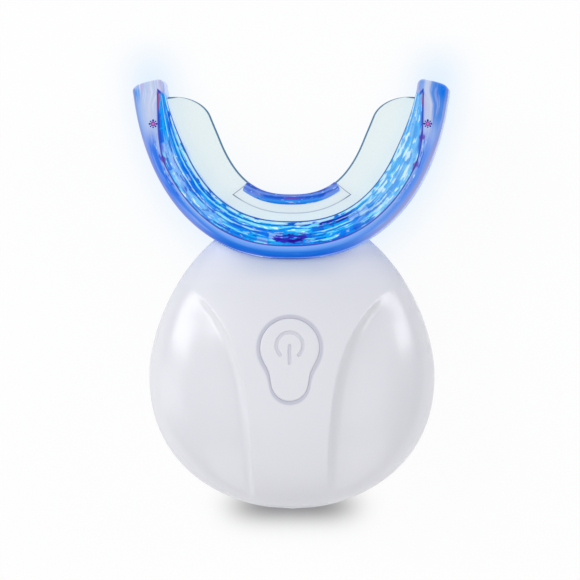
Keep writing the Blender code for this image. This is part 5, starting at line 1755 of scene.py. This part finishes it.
@dataclass
class Mouthpiece:
    """Clear tray with its lit wall, bite plate and the wall behind the teeth."""

    wall_finish: LitWall
    plate_finish: ClearPlate
    tongue_finish: LitEdge
    arch: ArchLine = ArchLine()
    height: float = 18.6 * MM
    wall: float = 7.8 * MM
    wall_at_tips: float = 6.7 * MM
    edge_radius: float = 1.8 * MM
    wall_sides: int = 44
    tip_corner: float = 1.6 * MM
    tip_slant: float = 1.1 * MM
    skin_gap: float = 0.06 * MM
    lights_end: float = 36.15 * MM
    plate_thickness: float = 2.0 * MM
    plate_front: float = 5.6 * MM
    plate_side: float = 7.4 * MM
    plate_grow_run: float = 44.0 * MM
    plate_end_from_tip: float = 4.5 * MM
    plate_in_wall: float = 0.5 * MM
    plate_rows: int = 34
    edge_rows: int = 9
    end_steps: int = 26
    lobe_round: float = 7.2 * MM
    lobe_power: float = 2.2
    tongue_height: float = 9.0 * MM
    tongue_thickness: float = 2.15 * MM
    tongue_run: float = 17.5 * MM
    tongue_inset: float = 11.25 * MM
    tongue_edge: float = 0.7 * MM
    tongue_corner: float = 0.8 * MM
    tongue_sides: int = 32
    step_depth: float = 0.3 * MM
    step_soft: float = 0.4 * MM
    guide_step: float = 0.6 * MM

    def runs(self, end: float, round_length: float) -> np.ndarray:
        """Places along the arch, close together where its end is round.

        Args:
            end: where it ends on each side.
            round_length: length of the rounded end.

        Returns:
            The places, from one end to the other.
        """
        straight = end - round_length
        bend = np.linspace(0.0, QUARTER, self.end_steps)[1:]
        half = np.concatenate([np.linspace(0.0, straight, int(straight / self.guide_step)),
                               straight + round_length * np.sin(bend)])
        return np.concatenate([-half[:0:-1], half])

    def guide(self, end: float, round_length: float) -> bpy.types.Object:
        """A line along the arch for the sweep to follow.

        Args:
            end: where it ends on each side.
            round_length: length of the rounded end.

        Returns:
            The curve object.
        """
        runs = self.runs(end, round_length)
        x, y = self.arch.place(runs, np.zeros_like(runs))
        curve = bpy.data.curves.new("arch_guide", "CURVE")
        curve.dimensions = "3D"
        spline = curve.splines.new("POLY")
        spline.points.add(len(runs) - 1)
        for point, across, up in zip(spline.points, x, y):
            point.co = (across, up, self.arch.level, 1.0)
        return link("arch_guide", curve)

    def wall_along(self, sweep: ArchSweep, name: str, end: float, values: dict,
                   *nodes: str) -> None:
        """Builds and dresses one wall of the arch.

        Args:
            sweep: the tree that draws it.
            name: the piece's name.
            end: where it ends on each side.
            values: the tree's inputs, but for the growth run.
            nodes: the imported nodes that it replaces.
        """
        wall = sweep.apply(self.guide(end, values["Tip Corner"]), name,
                           {"Growth Run": self.plate_grow_run, **values})
        tidy(wall.data)
        install(wall, Body.HANDLE, Slot.CLEAR_SOFT, *nodes)

    def plate_width(self, run: np.ndarray) -> np.ndarray:
        """Width of the bite plate at places along the arch.

        Args:
            run: distances from the middle of the arch.

        Returns:
            Widths.
        """
        left = self.arch.tip_run - self.plate_end_from_tip - run
        grown = self.plate_front + (self.plate_side - self.plate_front) * smoothstep(
            run / self.plate_grow_run)
        into = np.clip(1 - left / self.lobe_round, 0.0, 1.0)
        return grown * np.sqrt(np.clip(1 - into ** self.lobe_power, 0.0, 1.0))

    def bite_plate(self) -> None:
        """Builds the thin plate that the teeth close on."""
        end = self.arch.tip_run - self.plate_end_from_tip
        runs = self.runs(end, self.lobe_round)
        away = np.abs(runs)
        half = self.plate_thickness / 2
        width = self.plate_width(away)
        wall = self.wall + (self.wall_at_tips - self.wall) * smoothstep(
            (away - self.lights_end) / (self.arch.tip_run - self.lights_end))
        root = wall - self.plate_in_wall
        count, edge = self.plate_rows, self.edge_rows
        shares = np.concatenate([np.linspace(0.0, 1.0, count), np.full(edge, 1.0),
                                 np.linspace(1.0, 0.0, count)])
        bends = np.concatenate([np.full(count, QUARTER),
                                np.linspace(QUARTER, -QUARTER, edge + 2)[1:-1],
                                np.full(count, -QUARTER)])
        round_off = np.minimum(half * 0.8, width * 0.5 + 1e-6)
        reach = np.maximum(width + wall - root - round_off, 1e-6)
        look = self.plate_finish
        rows, stored = [], []
        for share, bend in zip(shares, bends):
            inward = root + reach * share + round_off * math.cos(bend)
            front = inward - look.step_place - look.step_bow * smoothstep(away / look.step_run)
            beside = look.step_run - look.step_slope * (inward - look.step_place) - away
            step = self.step_depth * smoothstep(np.minimum(front, beside) / self.step_soft)
            x, y = self.arch.place(runs, inward)
            rows.append(np.stack([x, y, self.arch.level + (half - step) * math.sin(bend)], axis=1))
            to_edge = np.minimum(root + reach + round_off - inward, end - away)
            stored.append(np.stack([to_edge, runs, inward], axis=1))
        plate = lattice("bite_plate", np.array(rows), self.plate_finish.make(), round_rows=False,
                        round_columns=True, stored=("plate", np.array(stored).reshape(-1, 3)))
        install(plate, Body.HANDLE, Slot.CLEAR_SOFT)

    def build(self) -> None:
        """Builds and dresses the mouthpiece."""
        sweep = ArchSweep()
        self.wall_along(sweep, "tray_wall", self.arch.tip_run, {
            "Inset": self.skin_gap, "Wall": self.wall - self.skin_gap,
            "Tip Wall": self.wall_at_tips - self.skin_gap, "Height": self.height,
            "Edge Radius": self.edge_radius, "Tip Corner": self.tip_corner,
            "Taper From": self.lights_end, "Inset Growth": 0.0, "Tip Slant": self.tip_slant,
            "Sides": self.wall_sides, "Material": self.wall_finish.make()}, "mouth_tray")
        self.wall_along(sweep, "tongue_wall", self.tongue_run, {
            "Inset": self.tongue_inset, "Wall": self.tongue_thickness,
            "Tip Wall": self.tongue_thickness, "Height": self.tongue_height,
            "Edge Radius": self.tongue_edge, "Tip Corner": self.tongue_corner,
            "Taper From": self.tongue_run * 0.9,
            "Inset Growth": self.plate_side - self.plate_front, "Tip Slant": 0.0,
            "Sides": self.tongue_sides, "Material": self.tongue_finish.make()})
        self.bite_plate()


# Repeated pieces


class Copies(GeometryNodes):
    """Puts a turned copy of a shape on each point. The points carry their turn."""

    def __init__(self) -> None:
        """Builds the tree."""
        super().__init__("copies")
        shape = self.named("Shape", "Object")
        size = self.named("Size")
        material = self.named("Material", "Material")
        look = self.add("GeometryNodeObjectInfo", None, {"Object": shape}, "Geometry")
        turn = self.add("GeometryNodeInputNamedAttribute", {"data_type": "FLOAT"}, {"Name": "turn"})
        self.close(self.copies(self.base(), look, Rotation=self.vector(0.0, 0.0, turn),
                               Scale=self.vector(size, size, size)), material)

    def place(self, name: str, shape: bpy.types.Object, spots: Sequence[tuple[float, ...]],
              material: bpy.types.Material) -> bpy.types.Object:
        """Makes one piece from copies of a shape.

        Args:
            name: the piece's name.
            shape: the shape, at the origin. It is removed.
            spots: x, y, z and turn of each copy.
            material: the finish.

        Returns:
            The piece.
        """
        base = link("spots", mesh_of("spots", [spot[:3] for spot in spots]))
        turns = base.data.attributes.new("turn", "FLOAT", "POINT")
        turns.data.foreach_set("value", [spot[3] for spot in spots])
        piece = self.apply(base, name, {"Shape": shape, "Size": 1.0, "Material": material})
        bpy.data.objects.remove(shape)
        tidy(piece.data, 35.0)
        return piece


class DotRings(GeometryNodes):
    """Puts a ring of small uneven domes round each point."""

    def __init__(self) -> None:
        """Builds the tree."""
        super().__init__("dot_rings")
        count = self.named("Count", "Int")
        ring, dot, rise, uneven = (self.named(name) for name in (
            "Ring Radius", "Dot Radius", "Rise", "Unevenness"))
        seed = self.named("Seed", "Int")
        material = self.named("Material", "Material")
        dome = self.add("GeometryNodeMeshUVSphere", None,
                        {"Segments": 12, "Rings": 6, "Radius": 1.0})
        circle = self.add("GeometryNodeMeshCircle", None, {"Vertices": count, "Radius": ring})
        share = self.add("FunctionNodeRandomValue", {"data_type": "FLOAT"},
                         {2: 1 - uneven, 3: 1 + uneven, "Seed": seed}, 1)
        wide = dot * share
        dots = self.copies(circle, dome, Scale=self.vector(wide, wide, rise))
        self.close(self.copies(self.base(), dots), material)


@dataclass
class CaseScrews:
    """Four pan head screws that hold the shells together, seen from the rear."""

    finish: Finish
    spots: Sequence[tuple[float, float]]
    level: float = 7.0 * MM
    first_turn: float = 0.35
    turn_step: float = 0.9
    head_radius: float = 1.9 * MM
    head_height: float = 1.5 * MM
    radius: float = 1.0 * MM
    length: float = 8.0 * MM
    pitch: float = 0.5 * MM
    thread_depth: float = 0.16 * MM
    plain_top: float = 0.3 * MM
    plain_length: float = 0.8 * MM
    sides: int = 40
    recess: tuple[float, float, float] = (2.3 * MM, 0.55 * MM, 0.8 * MM)

    def shape(self, material: bpy.types.Material) -> bpy.types.Object:
        """One screw, head down, with its threads and cross recess.

        Args:
            material: its finish.

        Returns:
            The mesh object.
        """
        edge, top, bevel = self.head_radius, self.head_height, 0.05 * MM
        profile = [(edge * 0.72, 0.0), (edge * 0.9, 0.07 * MM), (edge * 0.98, 0.25 * MM),
                   (edge, 0.5 * MM), (edge, top - bevel), (edge - bevel, top),
                   (self.radius * 0.9, top)]
        for number in range(int((self.length - self.plain_length) / self.pitch)):
            z = top + self.plain_top + number * self.pitch
            profile += [(self.radius - self.thread_depth, z), (self.radius, z + self.pitch * 0.5)]
        profile.append((self.radius * 0.5, top + self.length))
        screw = lathe("screw", profile, self.sides, material)
        long, wide, deep = self.recess
        for across, along in ((long, wide), (wide, long)):
            size = (across, deep * 2, wide * 0.2)
            tool = rounded_box("recess", size, -along / 2, along / 2, 0.0, material)
            combine(screw, tool, "DIFFERENCE")
        return screw

    def build(self, copies: Copies) -> None:
        """Builds and dresses the screws.

        Args:
            copies: the tree that places them.
        """
        material = self.finish.make()
        spots = [(x, y, self.level, self.first_turn + self.turn_step * number)
                 for number, (x, y) in enumerate(self.spots)]
        screws = copies.place("case_screws", self.shape(material), spots, material)
        install(screws, Body.HANDLE, Slot.STEEL,
                *(f"case_screw_{number}" for number in range(1, len(spots) + 1)))


@dataclass
class LightRows:
    """Two rows of lights round the arch: packages with a lens on each."""

    body_finish: Finish
    lens_finish: Finish
    arch: ArchLine = ArchLine()
    per_row: int = 8
    pitch: float = 9.6 * MM
    rows: tuple[float, float] = (3.0 * MM, -3.0 * MM)
    inset: float = 4.92 * MM
    length: float = 3.5 * MM
    height: float = 2.8 * MM
    thickness: float = 0.8 * MM
    lens_rise: float = 0.22 * MM
    lens_share: tuple[float, float] = (0.36, 0.38)
    lens_bend: float = 0.92
    corner: float = 0.3 * MM

    def spots(self) -> list[tuple[float, ...]]:
        """Place and turn of each light.

        Returns:
            x, y, z and turn of each.
        """
        found = []
        for level in self.rows:
            for number in range(self.per_row):
                run = (number - (self.per_row - 1) / 2) * self.pitch
                x, y = self.arch.place(run, self.inset)
                found.append((float(x), float(y), self.arch.level + level, self.arch.heading(run)))
        return found

    def lens(self, material: bpy.types.Material) -> bpy.types.Object:
        """One low dome on the face of a package.

        Args:
            material: its finish.

        Returns:
            The mesh object.
        """
        base = self.thickness / 2 - self.lens_rise
        wide, tall = self.length * self.lens_share[0], self.height * self.lens_share[1]
        rows = [[(wide * math.cos(bend) * math.cos(turn), base + self.lens_rise * math.sin(bend),
                  tall * math.cos(bend) * math.sin(turn)) for turn in round_turns(24)]
                for bend in np.linspace(0.0, QUARTER * self.lens_bend, 6)]
        return lattice("lens", np.array(rows), material, caps=True)

    def build(self, copies: Copies) -> None:
        """Builds and dresses the packages and their lenses.

        Args:
            copies: the tree that places them.
        """
        spots, half = self.spots(), self.thickness / 2
        material = self.body_finish.make()
        package = rounded_box("package", (self.length, self.height, self.corner), -half,
                              half - self.lens_rise, 0.0, material)
        bodies = copies.place("light_packages", package, spots, material)
        install(bodies, Body.HANDLE, Slot.BLUE_LIGHT,
                *(f"led_{number:02d}" for number in range(1, len(spots) + 1)))
        material = self.lens_finish.make()
        lenses = copies.place("light_lenses", self.lens(material), spots, material)
        install(lenses, Body.HANDLE, Slot.BLUE_LIGHT)


@dataclass
class TrayPins:
    """The small round pin near each tip, with the ring of dots that its hole shows."""

    pin_finish: Finish
    dot_finish: Finish
    arch: ArchLine = ArchLine()
    from_tip: float = 10.0 * MM
    inset: float = 3.1 * MM
    top: float = 22.8 * MM
    length: float = 2.7 * MM
    radius: float = 0.5 * MM
    rise: float = 0.05 * MM
    sides: int = 28
    ring_radius: float = 0.72 * MM
    dot_radius: float = 0.2 * MM
    dots: int = 8
    unevenness: float = 0.25
    seed: int = 4

    def build(self, copies: Copies) -> None:
        """Builds and dresses the pins and the dots round them.

        Args:
            copies: the tree that places the pins.
        """
        run = self.arch.tip_run - self.from_tip
        places = [self.arch.place(side * run, self.inset) for side in (-1, 1)]
        spots = [(float(x), float(y), self.top - self.length, 0.0) for x, y in places]
        material = self.pin_finish.make()
        profile = [(self.radius * 0.8, 0.0), (self.radius, 0.1 * MM), (self.radius, self.length),
                   (self.radius * 0.8, self.length + self.rise * 0.7),
                   (self.radius * 0.4, self.length + self.rise)]
        pin = lathe("pin", profile, self.sides, material)
        pins = copies.place("tray_pins", pin, spots, material)
        install(pins, Body.HANDLE, Slot.VIOLET_PIN, "tray_pin_left", "tray_pin_right")
        base = link("spots", mesh_of("spots", [(x, y, self.top) for x, y in places]))
        rings = DotRings().apply(base, "pin_dots", {
            "Count": self.dots, "Ring Radius": self.ring_radius, "Dot Radius": self.dot_radius,
            "Rise": self.rise, "Unevenness": self.unevenness, "Seed": self.seed,
            "Material": self.dot_finish.make()})
        install(rings, Body.HANDLE, Slot.VIOLET_PIN)


KEPT_NODES = (
    (Grained("grey_silicone", srgb(128, 130, 136), 0.62, size=0.18, spread=0.12),
     ("button_seal", "shell_seal_left", "shell_seal_right", "stem_seal")),
    (Grained("white_silicone", srgb(222, 224, 230), 0.5, size=0.22, spread=0.06), ("port_plug",)),
    (Grained("plated_steel", srgb(196, 198, 202), 0.28, metallic=1.0, grain=Grain.BRUSHED,
             size=0.12, spread=0.2, relief=0.01), ("usb_socket", "board_screw_1", "board_screw_2")),
    (Grained("moulded_black", srgb(34, 34, 37), 0.5, size=0.12, spread=0.25),
     ("switch_body", "buzzer")),
    (Grained("chip_epoxy", srgb(26, 27, 30), 0.38, size=0.06, spread=0.3, mottle=1.0),
     ("controller_chip", "charger_chip")),
    (Grained("ferrite", srgb(54, 52, 52), 0.7, grain=Grain.CREASED, size=0.2, spread=0.3,
             relief=0.04), ("boost_inductor",)),
    (Grained("ivory_nylon", srgb(224, 218, 198), 0.45, size=0.2, spread=0.08),
     ("switch_plunger", "battery_connector", "flex_connector")),
    (Grained("cell_foil", srgb(186, 189, 194), 0.34, metallic=0.9, grain=Grain.CREASED, size=1.6,
             spread=0.18, relief=0.08, mottle=6.0), ("battery_cell",)),
    (Grained("foam_black", srgb(48, 48, 50), 0.9, grain=Grain.CELLS, size=0.3, spread=0.5,
             relief=0.08), ("battery_pad",)),
    (Grained("lead_red", srgb(196, 34, 30), 0.42, size=0.3, spread=0.12), ("battery_lead_red",)),
    (Grained("lead_black", srgb(30, 30, 32), 0.42, size=0.3, spread=0.2), ("battery_lead_black",)),
    (Printed("solder_mask_green", srgb(22, 96, 58), 0.35, coat=0.3, track=srgb(44, 138, 82),
             pad=srgb(214, 196, 140)), ("main_board",)),
    (Printed("flex_mask_white", srgb(232, 234, 238), 0.42, track=srgb(206, 196, 170),
             pad=srgb(208, 190, 140), cell=1.1 * MM, upright=True), ("led_flex_strip",)),
    (ClearBar("clear_light_bar", srgb(120, 176, 255), 0.12, coat=0.4),
     ("light_housing", "mouthpiece_stem")),
)


def dress_kept_nodes() -> None:
    """Puts each finish of KEPT_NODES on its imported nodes, which keep their own shape."""
    for finish, names in KEPT_NODES:
        material = finish.make()
        for name in names:
            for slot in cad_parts[name].material_slots:
                slot.material = material
        log.info("%s: on %s", finish.name, ", ".join(names))


# Stage


@dataclass(frozen=True)
class Lamp:
    """One soft area lamp."""

    name: str
    place: tuple[float, float, float]
    size: tuple[float, float]
    power: float
    colour: Colour = WHITE

    def build(self, target: tuple[float, float, float]) -> None:
        """Places the lamp and aims it.

        Args:
            target: the point that it faces.
        """
        data = bpy.data.lights.new(self.name, "AREA")
        data.shape = "RECTANGLE"
        data.size, data.size_y = self.size
        data.energy = self.power
        data.color = self.colour
        lamp = link(self.name, data)
        lamp.location = self.place
        aim = Vector(target) - Vector(self.place)
        lamp.rotation_euler = aim.to_track_quat("-Z", "Y").to_euler()


@dataclass
class Studio:
    """Floor, lamps, world and camera."""

    floor: FloorWhite
    floor_half: float = 1.2
    lens: float = 600.0
    field: float = 121.2 * MM
    aim: tuple[float, float, float] = (-0.4 * MM, 0.75 * MM, 13.5 * MM)
    yaw: float = 2.0
    lamp_target: tuple[float, float, float] = (0.0, -0.01, 0.013)
    world_colour: Colour = (0.93, 0.94, 0.97)
    world_strength: float = 0.4
    lamps: tuple[Lamp, ...] = (
        Lamp("left_softbox", (-0.42, 0.25, 0.36), (0.34, 0.40), 1.8, (0.98, 0.99, 1.0)),
        Lamp("right_softbox", (0.46, 0.24, 0.32), (0.26, 0.34), 1.15, (0.97, 0.97, 1.0)),
        Lamp("left_strip", (-0.55, -0.08, 0.20), (0.2, 0.5), 0.4, (0.98, 0.99, 1.0)),
        Lamp("overhead", (0.04, -0.12, 0.9), (0.7, 0.7), 0.95),
        Lamp("low_fill", (0.08, -0.66, 0.42), (1.0, 0.7), 2.1),
    )

    def place_camera(self) -> None:
        """Puts the camera where the photograph was taken from."""
        data = bpy.data.cameras.new("camera")
        data.lens = self.lens
        data.clip_start = 0.01
        data.clip_end = 20.0
        camera = link("camera", data)
        distance = self.field * self.lens / data.sensor_width
        swing = math.radians(self.yaw)
        back = Vector((math.sin(swing), 0.0, math.cos(swing)))
        camera.location = Vector(self.aim) + back * distance
        camera.rotation_euler = (0.0, swing, 0.0)
        bpy.context.scene.camera = camera

    def build(self) -> None:
        """Builds the stage."""
        self.place_camera()
        for lamp in self.lamps:
            lamp.build(self.lamp_target)
        world = bpy.data.worlds.new("studio")
        world.use_nodes = True
        ground = world.node_tree.nodes["Background"]
        ground.inputs["Color"].default_value = (*self.world_colour, 1.0)
        ground.inputs["Strength"].default_value = self.world_strength
        bpy.context.scene.world = world
        bpy.context.scene.view_settings.view_transform = "Standard"
        ticks = np.linspace(-self.floor_half, self.floor_half, 9)
        rows = np.array([[(x, y, 0.0) for x in ticks] for y in ticks])
        floor = lattice("floor", rows, self.floor.make(), round_rows=False)


def main() -> None:
    """Builds the whole light."""
    gloss = dict(colour=srgb(222, 222, 227), roughness=0.3, coat=0.6, coat_roughness=0.24)
    handle = Handle(HandleWhite("gloss_white_plastic", **gloss))
    handle.build()
    PowerButton(HandleWhite("button_white_plastic", **gloss)).build()
    lit_blue = srgb(120, 150, 250)
    Mouthpiece(
        LitWall("lit_clear_wall", lit_blue, 0.16, coat=0.05, coat_roughness=0.06),
        ClearPlate("clear_soft_plate", srgb(227, 239, 238), 0.2, coat=0.06, coat_roughness=0.1),
        LitEdge("lit_clear_edge", lit_blue, 0.18, coat=0.05, coat_roughness=0.08)).build()
    copies = Copies()
    steel = Grained("screw_steel", srgb(190, 192, 196), 0.26, metallic=1.0, grain=Grain.BRUSHED,
                    size=0.14, spread=0.2, relief=0.01)
    spots = [(x, y) for y in handle.screw_rows for x in (handle.screw_x, -handle.screw_x)]
    CaseScrews(steel, spots).build(copies)
    package = Grained("package_ceramic", srgb(226, 228, 224), 0.4, size=0.1, spread=0.1)
    LightRows(package, LampBlue("lit_lens", srgb(60, 170, 255), 0.15)).build(copies)
    pin = PinViolet("pin_violet", srgb(96, 50, 170), 0.3, second=srgb(206, 104, 168))
    dot = PinViolet("dot_blue", srgb(34, 44, 150), 0.3, second=srgb(70, 96, 206))
    TrayPins(pin, dot).build(copies)
    dress_kept_nodes()
    Studio(FloorWhite("white_floor", (0.86, 0.86, 0.86))).build()


if __name__ == "__main__":
    main()
